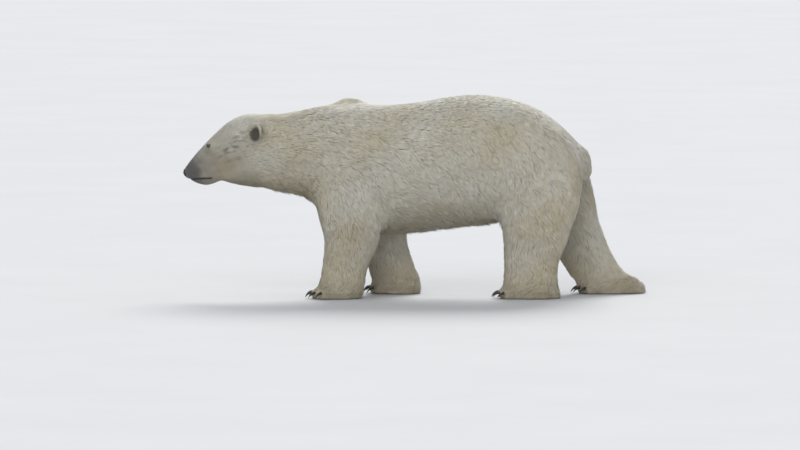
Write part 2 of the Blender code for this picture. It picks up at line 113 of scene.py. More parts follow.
COATS = {
    Region.MUZZLE: RegionCoat(0.0018, 0.010, 0.0014, 0.0024, 0.0),
    Region.FACE: RegionCoat(0.0070, 0.024, 0.0024, 0.0036, 0.15),
    Region.SKULL: RegionCoat(0.0120, 0.036, 0.0036, 0.0050, 0.25),
    Region.EAR: RegionCoat(0.0040, 0.018, 0.0024, 0.0032, 0.1),
    Region.NECK: RegionCoat(0.0170, 0.050, 0.0046, 0.0058, 0.30),
    Region.TRUNK: RegionCoat(0.0200, 0.058, 0.0050, 0.0062, 0.32),
    Region.TAIL: RegionCoat(0.0140, 0.055, 0.0046, 0.0056, 0.30),
    Region.UPPER: RegionCoat(0.0180, 0.054, 0.0048, 0.0062, 0.32),
    Region.LOWER: RegionCoat(0.0150, 0.048, 0.0046, 0.0060, 0.30),
    Region.FOOT: RegionCoat(0.0100, 0.034, 0.0038, 0.0054, 0.25),
}


HEAD_REGIONS = (Region.MUZZLE, Region.FACE, Region.SKULL, Region.EAR)
SHORT_REGIONS = (Region.MUZZLE, Region.FACE, Region.EAR)
LEG_REGIONS = (Region.UPPER, Region.LOWER, Region.FOOT)
FRINGED_REGIONS = (Region.NECK, Region.TRUNK, Region.TAIL, Region.UPPER)
BEND = 0.45  # share of a tuft's length at which it bends


def share_of(weights: Array, regions: Iterable[Region]) -> Array:
    """How much some regions count together, for each row of weights."""
    return weights[:, [region.value for region in regions]].sum(1)


def ramp(values: Array, low: float, high: float) -> Array:
    """A smooth step.

    Args:
        values: Where the step is wanted.
        low: Where it is 0; it may lie above high.
        high: Where it is 1.

    Returns:
        Values from 0 to 1.
    """
    t = np.clip((values - low) / (high - low), 0.0, 1.0)
    return t * t * (3.0 - 2.0 * t)


def unit(vectors: Array) -> Array:
    """The vectors, each of length 1."""
    return vectors / np.maximum(np.linalg.norm(vectors, axis=-1, keepdims=True), 1e-12)


def dot(a: Array, b: Array) -> Array:
    """The products of the rows, as a column."""
    return np.sum(a * b, axis=-1, keepdims=True)


def ripple(points: Array, wavelength: float, seed: int) -> Array:
    """Smooth noise from a few crossing waves.

    Args:
        points: Places, one for each row.
        wavelength: About the length of one wave, in metres.
        seed: Picks the waves.

    Returns:
        One value for each place, mostly within -1 to 1.
    """
    draw = np.random.default_rng(seed)
    total = np.zeros(len(points))
    for _ in range(7):
        wave = unit(draw.normal(size=3)) * 2 * math.pi / (wavelength * draw.uniform(0.6, 1.6))
        total += np.sin(points @ wave + draw.uniform(0, 2 * math.pi))
    return total / 2.6


@dataclass(frozen=True)
class HeadAxes:
    """The head's own axes: along from the nose tip to the nape, out to the side, and up."""

    tip: tuple[float, float, float] = (-1.402, 0.0, 0.741)
    pitch: float = math.radians(30.0)

    def matrix(self) -> Matrix:
        """Places head points in the bear's frame."""
        c, s = math.cos(self.pitch), math.sin(self.pitch)
        turn = Matrix(((c, 0.0, -s), (0.0, 1.0, 0.0), (s, 0.0, c))).to_4x4()
        return Matrix.Translation(self.tip) @ turn

    def local(self, points: Array) -> Array:
        """Along, out and up of points in the bear's frame."""
        return (points - np.array(self.tip)) @ np.array(self.matrix().to_3x3())

    def vectors(self, local: Array) -> Array:
        """Head vectors, in the bear's frame."""
        return local @ np.array(self.matrix().to_3x3()).T


HEAD = HeadAxes()


@dataclass
class Surface:
    """A mesh of triangles as arrays.

    Args:
        points: One row for each vertex.
        triangles: Three vertex numbers for each face.
        edges: Two vertex numbers for each edge.
    """

    points: Array
    triangles: Array
    edges: Array

    @classmethod
    def of(cls, mesh: Mesh) -> "Surface":
        """The arrays of a mesh of triangles."""
        points = np.empty(len(mesh.vertices) * 3)
        mesh.vertices.foreach_get("co", points)
        corners = np.empty(len(mesh.loops), int)
        mesh.loops.foreach_get("vertex_index", corners)
        edges = np.empty(len(mesh.edges) * 2, int)
        mesh.edges.foreach_get("vertices", edges)
        return cls(points.reshape(-1, 3), corners.reshape(-1, 3), edges.reshape(-1, 2))

    def blurred(self, values: Array, rounds: int, share: Array | float = 1.0) -> Array:
        """Averages values with those of the neighbours.

        Args:
            values: One row for each vertex.
            rounds: How often.
            share: How far each vertex follows its neighbours, 0 to 1.

        Returns:
            The smoothed values.
        """
        count = len(self.points)
        near, far = self.edges.T
        degree = np.bincount(near, minlength=count) + np.bincount(far, minlength=count)
        flat = values.reshape(count, -1).astype(float)
        weight = np.broadcast_to(np.asarray(share, float).reshape(-1, 1), (count, 1))
        for _ in range(rounds):
            mean = np.empty_like(flat)
            for column in range(flat.shape[1]):
                row = flat[:, column]
                mean[:, column] = np.bincount(near, row[far], count)
                mean[:, column] += np.bincount(far, row[near], count)
            mean /= np.maximum(degree, 1)[:, None]
            flat = flat + (mean - flat) * 0.6 * weight
        return flat.reshape(values.shape)

    def normals(self) -> Array:
        """Outward normals of the vertices."""
        a, b, c = (self.points[self.triangles[:, i]] for i in range(3))
        faces = np.cross(b - a, c - a)
        total = np.zeros_like(self.points)
        for corner in range(3):
            for axis in range(3):
                total[:, axis] += np.bincount(
                    self.triangles[:, corner], faces[:, axis], len(self.points)
                )
        return unit(total)

    def areas(self) -> Array:
        """The area of each triangle."""
        a, b, c = (self.points[self.triangles[:, i]] for i in range(3))
        return np.linalg.norm(np.cross(b - a, c - a), axis=1) / 2

    def tree(self) -> BVHTree:
        """For finding the nearest place on the surface."""
        return BVHTree.FromPolygons(self.points.tolist(), self.triangles.tolist())


def linked(name: str, mesh: Mesh) -> Object:
    """A new object that holds the mesh, in the scene."""
    obj = bpy.data.objects.new(name, mesh)
    bpy.context.scene.collection.objects.link(obj)
    return obj


def mesh_of(bm: bmesh.types.BMesh, name: str) -> Mesh:
    """A mesh with the bmesh's geometry, facing outwards. The bmesh is freed."""
    bmesh.ops.recalc_face_normals(bm, faces=bm.faces)
    mesh = bpy.data.meshes.new(name)
    bm.to_mesh(mesh)
    bm.free()
    return mesh


def paint(mesh: Mesh, name: str, colours: Array) -> None:
    """Stores a colour for each vertex.

    Args:
        mesh: What is painted.
        name: Of the colour attribute.
        colours: One row of red, green and blue for each vertex.
    """
    layer = mesh.color_attributes.new(name, "FLOAT_COLOR", "POINT")
    rgba = np.ones((len(mesh.vertices), 4), np.float32)
    rgba[:, :3] = np.clip(colours, 0.0, 1.0)
    layer.data.foreach_set("color", rgba.ravel())


def adopt(piece: Object, material: Material) -> Object:
    """Dresses a piece, smooths its shading and fixes it to the bear's body.

    Args:
        piece: The finished piece.
        material: Its finish.

    Returns:
        The piece.
    """
    piece.data.materials.clear()
    piece.data.materials.append(material)
    piece.data.shade_smooth()
    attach(piece, BODY)
    LOG.info("%s: %d faces", piece.name, len(piece.data.polygons))
    return piece


class Graph:
    """A short way to write a material's nodes."""

    def __init__(self, name: str) -> None:
        """Starts a material that has only its Principled shader and output."""
        self.material = bpy.data.materials.new(name)
        self.material.use_nodes = True
        self.nodes = self.material.node_tree.nodes
        self.links = self.material.node_tree.links
        self.shader = self.nodes["Principled BSDF"]

    def node(self, kind: str, **settings: object) -> Node:
        """A new node with its settings."""
        made = self.nodes.new(kind)
        for key, value in settings.items():
            setattr(made, key, value)
        return made

    def join(self, source: object, target: object) -> None:
        """Links an output socket to an input socket."""
        self.links.new(source, target)

    def noise(self, scale: float, detail: float, rough: float, vector: object) -> object:
        """The output of a noise texture."""
        made = self.node("ShaderNodeTexNoise")
        made.inputs["Scale"].default_value = scale
        made.inputs["Detail"].default_value = detail
        made.inputs["Roughness"].default_value = rough
        self.join(vector, made.inputs["Vector"])
        return made.outputs["Fac"]

    def spread(self, value: object, low: float, high: float) -> object:
        """A value from 0 to 1, spread between two others."""
        made = self.node("ShaderNodeMapRange")
        made.inputs["From Min"].default_value = 0.25
        made.inputs["From Max"].default_value = 0.75
        made.inputs["To Min"].default_value = low
        made.inputs["To Max"].default_value = high
        self.join(value, made.inputs["Value"])
        return made.outputs["Result"]

    def times(self, a: object, b: object) -> object:
        """The product of two values."""
        made = self.node("ShaderNodeMath", operation="MULTIPLY")
        self.join(a, made.inputs[0])
        self.join(b, made.inputs[1])
        return made.outputs[0]

    def shaded(self, colour: object, value: object) -> object:
        """A colour made darker or lighter by a value."""
        made = self.node("ShaderNodeVectorMath", operation="SCALE")
        self.join(colour, made.inputs[0])
        self.join(value, made.inputs["Scale"])
        return made.outputs[0]

    def bump(self, height: object, distance: float, strength: float = 1.0) -> None:
        """Raises the surface by a value, over a distance in metres."""
        made = self.node("ShaderNodeBump")
        made.inputs["Distance"].default_value = distance
        made.inputs["Strength"].default_value = strength
        self.join(height, made.inputs["Height"])
        self.join(made.outputs["Normal"], self.shader.inputs["Normal"])

    def place(self) -> object:
        """The place on the piece, in metres."""
        return self.node("ShaderNodeTexCoord").outputs["Object"]


@dataclass(frozen=True)
class FurFinish:
    """Fur over a painted ground: fine strands, soft sheen and mottling."""

    roughness: float = 0.62
    sheen: float = 0.35
    strand_bump: float = 0.0006

    def tufts(self) -> Material:
        """The finish of the coat, whose strands run along each tuft."""
        graph = Graph("fur")
        uv = graph.node("ShaderNodeUVMap", uv_map="Strand").outputs["UV"]
        painted = graph.node("ShaderNodeAttribute", attribute_name="Coat").outputs["Color"]
        strands = graph.noise(1.0, 2.0, 0.5, uv)
        mottle = graph.noise(14.0, 3.0, 0.6, graph.place())
        shade = graph.times(graph.spread(strands, 0.86, 1.10), graph.spread(mottle, 0.93, 1.06))
        graph.join(graph.shaded(painted, shade), graph.shader.inputs["Base Color"])
        graph.bump(strands, self.strand_bump)
        return self.soft(graph)

    def skin(self) -> Material:
        """The finish of the skin, which shows as short fur on the face and between tufts."""
        graph = Graph("skin")
        place = graph.place()
        painted = graph.node("ShaderNodeAttribute", attribute_name="Coat").outputs["Color"]
        fine = graph.noise(520.0, 3.0, 0.6, place)
        coarse = graph.noise(60.0, 3.0, 0.6, place)
        shade = graph.times(graph.spread(fine, 0.82, 1.12), graph.spread(coarse, 0.9, 1.08))
        graph.join(graph.shaded(painted, shade), graph.shader.inputs["Base Color"])
        graph.bump(fine, 0.0008)
        return self.soft(graph)

    def soft(self, graph: Graph) -> Material:
        """Sets what all fur shares, on the shader."""
        graph.shader.inputs["Roughness"].default_value = self.roughness
        graph.shader.inputs["Sheen Weight"].default_value = self.sheen
        graph.shader.inputs["Sheen Roughness"].default_value = 0.45
        graph.shader.inputs["Sheen Tint"].default_value = (1.0, 0.97, 0.90, 1.0)
        graph.shader.inputs["Specular IOR Level"].default_value = 0.35
        return graph.material


@dataclass(frozen=True)
class LeatherFinish:
    """The damp, pebbled black leather of the nose."""

    colour: tuple[float, float, float] = (0.018, 0.018, 0.020)

    def material(self) -> Material:
        """The finish as a material."""
        graph = Graph("nose_leather")
        place = graph.place()
        cells = graph.node("ShaderNodeTexVoronoi")
        cells.inputs["Scale"].default_value = 520.0
        graph.join(place, cells.inputs["Vector"])
        pebble = cells.outputs["Distance"]
        painted = graph.node("ShaderNodeAttribute", attribute_name="Coat").outputs["Color"]
        shade = graph.spread(graph.noise(160.0, 3.0, 0.6, place), 0.7, 1.35)
        graph.join(graph.shaded(painted, shade), graph.shader.inputs["Base Color"])
        damp = graph.spread(graph.noise(90.0, 2.0, 0.5, place), 0.30, 0.52)
        graph.join(damp, graph.shader.inputs["Roughness"])
        graph.bump(pebble, 0.0008, 0.6)
        return graph.material


@dataclass(frozen=True)
class HornFinish:
    """Worn dark horn with lengthwise grain."""

    def material(self) -> Material:
        """The finish as a material."""
        graph = Graph("claw_horn")
        painted = graph.node("ShaderNodeAttribute", attribute_name="Coat").outputs["Color"]
        grain = graph.noise(240.0, 4.0, 0.6, graph.place())
        graph.join(
            graph.shaded(painted, graph.spread(grain, 0.7, 1.4)),
            graph.shader.inputs["Base Color"],
        )
        graph.join(graph.spread(grain, 0.28, 0.50), graph.shader.inputs["Roughness"])
        graph.bump(grain, 0.0004)
        return graph.material


@dataclass(frozen=True)
class EyeFinish:
    """A wet dark eye."""

    def material(self) -> Material:
        """The finish as a material."""
        graph = Graph("eye_wet")
        painted = graph.node("ShaderNodeAttribute", attribute_name="Coat").outputs["Color"]
        fibres = graph.noise(900.0, 3.0, 0.6, graph.place())
        graph.join(
            graph.shaded(painted, graph.spread(fibres, 0.6, 1.4)),
            graph.shader.inputs["Base Color"],
        )
        graph.shader.inputs["Roughness"].default_value = 0.06
        graph.shader.inputs["Coat Weight"].default_value = 1.0
        graph.shader.inputs["Coat Roughness"].default_value = 0.02
        return graph.material


@dataclass(frozen=True)
class Markings:
    """The colours of skin and coat, as functions of the place."""

    cream: tuple[float, float, float] = (0.68, 0.652, 0.560)
    straw: tuple[float, float, float] = (0.56, 0.475, 0.300)
    umber: tuple[float, float, float] = (0.34, 0.265, 0.165)
    dark: tuple[float, float, float] = (0.085, 0.080, 0.078)
    black: tuple[float, float, float] = (0.016, 0.015, 0.016)

    def colour(self, points: Array, normals: Array) -> Array:
        """The coat's colour.

        Args:
            points: Places on the skin.
            normals: Its normals there.

        Returns:
            Red, green and blue for each place.
        """
        x, y, z = points.T
        out = np.tile(np.array(self.cream), (len(points), 1))
        broad, fine = ripple(points, 0.30, 3), ripple(points, 0.07, 4)

        def lay(colour: Iterable[float], share: Array) -> None:
            """Lays a colour over the others by a share for each place."""
            weight = np.clip(share, 0.0, 1.0)[:, None]
            out[:] = out * (1 - weight) + np.array(tuple(colour)) * weight

        def spot(px: float, pz: float, rx: float, rz: float) -> Array:
            """How near places lie to a round stain, seen from the side."""
            return np.exp(-(((x - px) / rx) ** 2) - ((z - pz) / rz) ** 2)

        lay(self.straw, 0.24 + 0.20 * broad + 0.10 * fine)
        under = ramp(normals[:, 2], -0.1, -0.9)
        lay(self.straw, 0.40 * under)
        lay(self.straw, 0.55 * spot(0.86, 0.56, 0.16, 0.14) * (0.7 + 0.4 * fine))
        lay(self.straw, 0.40 * spot(0.62, 0.42, 0.18, 0.10) * (0.7 + 0.4 * fine))
        lay(self.umber, 0.40 * spot(1.03, 0.80, 0.10, 0.22) * (0.7 + 0.3 * fine))
        lay(self.umber, 0.22 * spot(-0.32, 0.41, 0.12, 0.08))
        lay(self.straw, 0.45 * ramp(z, 0.40, 0.12))
        lay(self.umber, 0.30 * ramp(z, 0.16, 0.01) * (0.8 + 0.4 * fine))
        throat = ramp(x, -1.15, -0.95) * ramp(x, -0.40, -0.65) * ramp(z, 0.80, 0.62)
        lay(self.straw, 0.35 * throat)
        self.lay_face(points, lay)
        return out

    def lay_face(self, points: Array, lay: Callable[[Iterable[float], Array], None]) -> None:
        """Adds the dark muzzle, lips, painted shade in the ears' hollows and the flecks behind
        the eye.

        Args:
            points: Places on the skin.
            lay: Lays a colour over what is there, by a share for each place.
        """
        along, out, up = HEAD.local(points).T
        on_head = ramp(along, 0.62, 0.56)
        fine = ripple(points, 0.045, 7)
        edge = 0.205 - 0.42 * np.clip(-up - 0.03, 0.0, 0.13) + 0.012 * fine
        grey = ramp(along, edge + 0.05, edge - 0.06)
        lay((0.28, 0.255, 0.220), 0.74 * grey)
        lay(self.dark, 0.85 * ramp(along, edge - 0.04, edge - 0.15))
        flecks = ramp(ripple(points, 0.030, 11), 0.55, 1.0)
        field_of = np.exp(-(((along - 0.33) / 0.10) ** 2) - ((up - 0.0) / 0.07) ** 2)
        lay(self.dark, 0.60 * flecks * field_of * on_head)
        lip = Mouth().distance(points)
        lay(self.black, np.exp(-((lip / 0.0065) ** 2)) * (along < 0.16))
        for ear in (Ear(-1), Ear(1)):
            # Painted shade in the hollow of each ear.
            lay((0.100, 0.088, 0.075), 0.90 * ear.hollow_shade(points))


@dataclass(frozen=True)
class Ear:
    """One ear's place and the way it faces, in the head's axes.

    Args:
        side: -1 for the left ear, 1 for the right one.
    """

    side: int
    place: tuple[float, float, float] = (0.511, 0.136, -0.010)
    tall: tuple[float, float, float] = (0.16, 0.50, 0.84)
    faces: tuple[float, float, float] = (-0.70, 0.70, 0.10)
    cup: tuple[float, float, float] = (0.030, 0.036, 0.046)
    shift: float = 0.020

    def local(self, points: Array) -> Array:
        """Behind, aside and up of places, from the ear's middle."""
        mirror = np.array([1.0, self.side, 1.0])
        spot = np.array(HEAD.matrix() @ Vector(np.array(self.place) * mirror))
        tall = unit(np.array(self.tall) * mirror)
        behind = -np.array(self.faces) * mirror
        behind = unit(behind - tall * float(behind @ tall))
        return (points - spot) @ np.stack((behind, np.cross(tall, behind), tall)).T

    def hollow_shade(self, points: Array) -> Array:
        """How far places lie in the hollow of the ear, 0 to 1, which is darkened with painted
        shade.
        """
        local = self.local(points) + np.array([self.shift, 0.0, 0.006])
        level = np.linalg.norm(local / np.array(self.cup), axis=1)
        return ramp(level, 1.20, 0.80)

    def before(self, points: Array) -> Array:
        """How near places lie before the ear, 0 to 1, where the fur is shorter."""
        local = self.local(points) + np.array([0.045, 0.0, 0.010])
        return ramp(np.linalg.norm(local, axis=1), 0.085, 0.040)


@dataclass(frozen=True)
class Mouth:
    """The line between the lips, in the head's axes (along, up)."""

    line: tuple[tuple[float, float], ...] = (
        (0.010, -0.049),
        (0.035, -0.062),
        (0.069, -0.078),
        (0.100, -0.094),
        (0.132, -0.111),
    )

    def distance(self, points: Array) -> Array:
        """How far places lie above the line, or below it where negative, in metres."""
        along, _, up = HEAD.local(points).T
        xs, zs = np.array(self.line).T
        height = np.interp(along, xs, zs)
        beyond = np.maximum(along - xs[-1], 0.0) + np.maximum(xs[0] - along, 0.0)
        gap = (up - height) * 0.90
        return np.sign(gap + 1e-9) * np.hypot(gap, beyond)


@dataclass
class EyeSeat:
    """Where one eyeball sits, and its lids.

    Args:
        label: left or right.
        radius: Of the eyeball.
        lid: Thickness of a lid.
        half_width: Of the opening between the lids.
        half_height: Of the opening.
        tilt: Rise of the opening for each metre towards the nose.
    """

    label: str
    radius: float = 0.0125
    lid: float = 0.0014
    half_width: float = 0.0112
    half_height: float = 0.0074
    tilt: float = -0.30
    middle: Vector = field(init=False)
    axes: Array = field(init=False)

    def __post_init__(self) -> None:
        """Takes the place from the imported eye."""
        low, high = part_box(f"eye_{self.label}")
        self.middle = (low + high) / 2
        self.axes = np.eye(3)

    def face(self, normal: Array) -> None:
        """Turns the eye to look along the face's normal, a little ahead.

        Args:
            normal: Of the face round the eye.
        """
        ahead = HEAD.vectors(np.array([[-1.0, 0.0, 0.0]]))[0]
        look = unit(normal + 0.28 * ahead)
        nose_ward = unit(ahead - look * float(look @ ahead))
        up = np.cross(look, nose_ward)
        if up[2] < 0:
            up = -up
        self.axes = np.stack((nose_ward, up, look))

    def local(self, points: Array) -> Array:
        """Noseward, up and out of places, from the eye's middle."""
        return (points - np.array(self.middle)) @ self.axes.T

    def opening(self, across: Array, up: Array) -> Array:
        """How far places lie outside the lids' edge, in metres; negative is between them."""
        tilted = up + self.tilt * across
        reach = np.where(across > 0, self.half_width * 1.12, self.half_width)
        tall = np.where(tilted > 0, self.half_height, self.half_height * 0.85)
        level = np.abs(tilted) / tall + (np.abs(across) / reach) ** 2.0
        return (level - 1.0) * self.half_height * 0.75


class Skin:
    """The one skin of the bear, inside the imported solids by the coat's depth."""

    VOXEL = 0.0113  # grain at which the flesh is melted together
    PUFF = 0.0003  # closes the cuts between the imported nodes

    def __init__(self, nodes: dict[str, Object]) -> None:
        """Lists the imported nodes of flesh.

        Args:
            nodes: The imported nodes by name.
        """
        skipped = ("claw_", "eye_")
        self.flesh = sorted(n for n in nodes if not n.startswith(skipped))
        self.filled = self.flesh + ["eye_left", "eye_right"]
        self.nodes = nodes
        self.eyes = [EyeSeat("left"), EyeSeat("right")]
        self.surface: Surface | None = None
        self.outer: Array | None = None
        self.weights: Array | None = None
        self.depth: Array | None = None
        self.muzzle: BVHTree | None = None

    def united(self) -> Mesh:
        """All flesh as one mesh of even grain."""
        whole = bmesh.new()
        for name in self.filled:
            part = bmesh.new()
            part.from_mesh(self.nodes[name].data)
            bmesh.ops.remove_doubles(part, verts=part.verts, dist=1e-5)
            bmesh.ops.recalc_face_normals(part, faces=part.faces)
            part.normal_update()
            for vertex in part.verts:
                vertex.co += vertex.normal * self.PUFF
            puffed = bpy.data.meshes.new(name)
            part.to_mesh(puffed)
            part.free()
            whole.from_mesh(puffed)
            bpy.data.meshes.remove(puffed)
        obj = linked("flesh", mesh_of(whole, "flesh"))
        grain = obj.modifiers.new("grain", "REMESH")
        grain.mode = "VOXEL"
        grain.voxel_size = self.VOXEL
        bpy.context.view_layer.update()
        graph = bpy.context.evaluated_depsgraph_get()
        made = bpy.data.meshes.new_from_object(obj.evaluated_get(graph))
        bpy.data.objects.remove(obj)
        return made

    @staticmethod
    def keep_largest(bm: bmesh.types.BMesh) -> None:
        """Deletes all but the largest connected part."""
        unseen = set(bm.verts)
        parts = []
        while unseen:
            part, stack = [], [unseen.pop()]
            while stack:
                vertex = stack.pop()
                part.append(vertex)
                for edge in vertex.link_edges:
                    other = edge.other_vert(vertex)
                    if other in unseen:
                        unseen.remove(other)
                        stack.append(other)
            parts.append(part)
        parts.sort(key=len)
        for part in parts[:-1]:
            bmesh.ops.delete(bm, geom=part, context="VERTS")

    def refined(self, mesh: Mesh) -> Mesh:
        """Triangles, made finer over the face and finest round the eyes and mouth."""
        bm = bmesh.new()
        bm.from_mesh(mesh)
        self.keep_largest(bm)
        bmesh.ops.triangulate(bm, faces=bm.faces)
        eyes = [np.array(seat.middle) for seat in self.eyes]

        def chosen_at(points: Array, level: int) -> Array:
            """Which places are made finer at one level."""
            local = HEAD.local(points)
            near_eye = np.min([np.linalg.norm(points - eye, axis=1) for eye in eyes], axis=0)
            lip = np.abs(Mouth().distance(points))
            face = (local[:, 0] < 0.36) | ((local[:, 0] < 0.62) & (local[:, 2] > -0.01))
            if level == 0:
                return face
            if level == 1:
                nose = local[:, 0] < 0.035
                return (near_eye < 0.036) | ((lip < 0.014) & (local[:, 0] < 0.16)) | nose
            return near_eye < 0.026

        for level in range(3):
            ends = np.array([[*e.verts[0].co, *e.verts[1].co] for e in bm.edges])
            chosen = chosen_at((ends[:, :3] + ends[:, 3:]) / 2, level)
            edges = [edge for edge, picked in zip(bm.edges, chosen) if picked]
            bmesh.ops.subdivide_edges(bm, edges=edges, cuts=1)
            bmesh.ops.triangulate(bm, faces=bm.faces)
        done = mesh_of(bm, "skin")
        LOG.info("skin: %d triangles", len(done.polygons))
        bpy.data.meshes.remove(mesh)
        return done

    def region_weights(self) -> Array:
        """How much each region counts at each vertex."""
        owners = {
            "head": Region.SKULL,
            "nose": Region.MUZZLE,
            "neck": Region.NECK,
            "trunk": Region.TRUNK,
            "tail": Region.TAIL,
        }
        points, faces, regions = [], [], []
        start = 0
        for name in self.flesh:
            mesh = self.nodes[name].data
            mesh.calc_loop_triangles()
            points += [tuple(v.co) for v in mesh.vertices]
            faces += [tuple(start + i for i in t.vertices) for t in mesh.loop_triangles]
            tail = name.rsplit("_", 1)[-1]
            by_tail = {"upper": Region.UPPER, "lower": Region.LOWER, "foot": Region.FOOT}
            region = owners.get(name) or by_tail.get(tail) or Region.EAR
            regions += [region.value] * len(mesh.loop_triangles)
            start += len(mesh.vertices)
        tree = BVHTree.FromPolygons(points, faces)
        nearest = [regions[tree.find_nearest(p)[2]] for p in self.surface.points.tolist()]
        weights = np.zeros((len(nearest), len(Region)))
        weights[np.arange(len(nearest)), nearest] = 1.0
        weights = self.surface.blurred(weights, 14)
        along = HEAD.local(self.surface.points)[:, 0]
        skull = weights[:, Region.SKULL.value].copy()
        muzzle = ramp(along, 0.24, 0.12)
        back = ramp(along, 0.32, 0.46)
        weights[:, Region.MUZZLE.value] += skull * muzzle
        weights[:, Region.FACE.value] = skull * (1 - muzzle) * (1 - back)
        weights[:, Region.SKULL.value] = skull * (1 - muzzle) * back
        return weights / weights.sum(1, keepdims=True)

    def eye_distance(self) -> Array:
        """Each vertex's distance from the nearer eye's middle."""
        return np.min(
            [
                np.linalg.norm(self.outer - np.array(seat.middle), axis=1)
                for seat in self.eyes
            ],
            axis=0,
        )

    def coat_depth(self, normals: Array) -> Array:
        """How deep the coat is at each vertex.

        Args:
            normals: Of the outer surface; not used.

        Returns:
            Depths in metres.
        """
        depths = np.array([COATS[region].depth for region in Region])
        depth = self.weights @ depths
        depth *= 1.0 - 0.72 * ramp(self.eye_distance(), 0.048, 0.018)
        sole = ramp(self.outer[:, 2], 0.016, 0.002)
        depth = depth * (1 - sole) + 0.0012 * sole
        return self.surface.blurred(depth, 5)

    def sculpt_eyes(self) -> None:
        """Draws the lids round each eyeball."""
        points = self.surface.points
        normals = self.surface.normals()
        for seat in self.eyes:
            near = np.linalg.norm(points - np.array(seat.middle), axis=1)
            seat.face(unit(normals[(near > 0.016) & (near < 0.030)].mean(0)))
            chosen = np.flatnonzero(near < 0.034)
            local = seat.local(points[chosen])
            across, up, out = local.T
            flat = np.hypot(across, up)
            facing = out > -0.004
            edge = seat.opening(across, up)
            lid_radius = seat.radius + seat.lid * (1.0 - 0.25 * ramp(edge, 0.0, 0.004))
            ball = np.sqrt(np.maximum(lid_radius**2 - flat**2, 0.0))
            soft = 0.0035
            lidded = 0.5 * (out + ball + np.sqrt((out - ball) ** 2 + soft**2))
            lidded += 0.0006 * np.exp(-(((edge - 0.0012) / 0.0012) ** 2))
            lidded -= 0.0009 * np.exp(-(((edge - 0.0050) / 0.0014) ** 2))
            under = np.sqrt(np.maximum((seat.radius - 0.0016) ** 2 - flat**2, 0.0))
            inside = ramp(edge, 0.0001, -0.0009)
            fade = ramp(flat, 0.026, 0.017) * facing
            target = lidded * (1 - inside) + under * inside
            local[:, 2] = out + (target - out) * fade
            points[chosen] = local @ seat.axes + np.array(seat.middle)

    def sculpt_mouth(self) -> None:
        """Presses the line between the lips and rounds the lips beside it."""
        points = self.surface.points
        along, out, up = HEAD.local(points).T
        lip = Mouth().distance(points)
        fade = ramp(along, 0.150, 0.118) * ramp(along, 0.20, 0.16)
        groove = -0.0052 * np.exp(-((lip / 0.0024) ** 2))
        upper = 0.0022 * np.exp(-(((lip - 0.0075) / 0.0050) ** 2))
        lower = 0.0010 * np.exp(-(((lip + 0.0070) / 0.0040) ** 2))
        low = Mouth().line[0][1]
        cleft = -0.0034 * np.exp(-((out / 0.0022) ** 2))
        cleft *= ramp(along, 0.050, 0.030) * ramp(up, low - 0.004, low + 0.004)
        cleft *= ramp(up, -0.020, -0.032)
        push = (groove + upper + lower) * fade + cleft
        points += self.surface.normals() * push[:, None]

    def build(self) -> Object:
        """Makes the skin.

        Returns:
            The skin's object.
        """
        mesh = self.refined(self.united())
        self.surface = Surface.of(mesh)
        self.weights = self.region_weights()
        fine = share_of(self.weights, SHORT_REGIONS)
        firm = np.clip(fine + self.weights[:, Region.FOOT.value] * 0.8, 0.0, 1.0)
        self.surface.points = self.surface.blurred(self.surface.points, 3)
        self.surface.points = self.surface.blurred(self.surface.points, 22, 1.0 - firm)
        self.surface.points[:, 2] = np.maximum(self.surface.points[:, 2], 0.0)
        self.outer = self.surface.points.copy()
        normals = unit(self.surface.blurred(self.surface.normals(), 4))
        self.depth = self.coat_depth(normals)
        self.surface.points = self.outer - normals * self.depth[:, None]
        self.surface.points = self.surface.blurred(self.surface.points, 2, 1.0 - firm)
        self.surface.points[:, 2] = np.maximum(self.surface.points[:, 2], 0.0006)
        self.sculpt_mouth()
        self.sculpt_eyes()
        self.muzzle = self.surface.tree()
        covered = Nose().covers(self.surface.points, 0.86)
        self.surface.points -= self.surface.normals() * (0.014 * covered)[:, None]
        mesh.vertices.foreach_set("co", self.surface.points.ravel())
        mesh.update()
        return linked("skin", mesh)

    def dress(self, skin: Object, markings: Markings) -> None:
        """Paints the skin, with painted shade under the coat and round the eyes, and puts it in
        the place of the flesh.

        Args:
            skin: The skin's object.
            markings: Its colours.
        """
        normals = self.surface.normals()
        colours = markings.colour(self.surface.points, normals)
        # Painted shade: the skin is darker overall, and darker still where the coat over it is
        # deep, as the shade between the tufts.
        covered = ramp(self.depth, 0.004, 0.012)[:, None]
        colours = colours * (1.0 - 0.30 * covered) * 0.86
        # Painted shade: darker still round the eyes, to match the shading of the short tufts
        # there.
        colours = colours * (1.0 - 0.24 * ramp(self.eye_distance(), 0.066, 0.030)[:, None])
        for seat in self.eyes:
            local = seat.local(self.surface.points)
            flat = np.hypot(local[:, 0], local[:, 1])
            edge = seat.opening(local[:, 0], local[:, 1])
            close = (flat < 0.034) * (local[:, 2] > -0.004)
            dusk = 0.45 * ramp(edge, 0.0200, 0.0060) * close
            colours = colours * (1 - dusk[:, None])
            rim = ramp(edge, 0.0080, 0.0034) * (flat < 0.026) * (local[:, 2] > 0.0)
            colours = colours * (1 - rim[:, None]) + np.array(markings.black) * rim[:, None]
        paint(skin.data, "Coat", colours)
        adopt(skin, FurFinish().skin())
        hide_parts(*[n for n in self.flesh if n != "nose"])


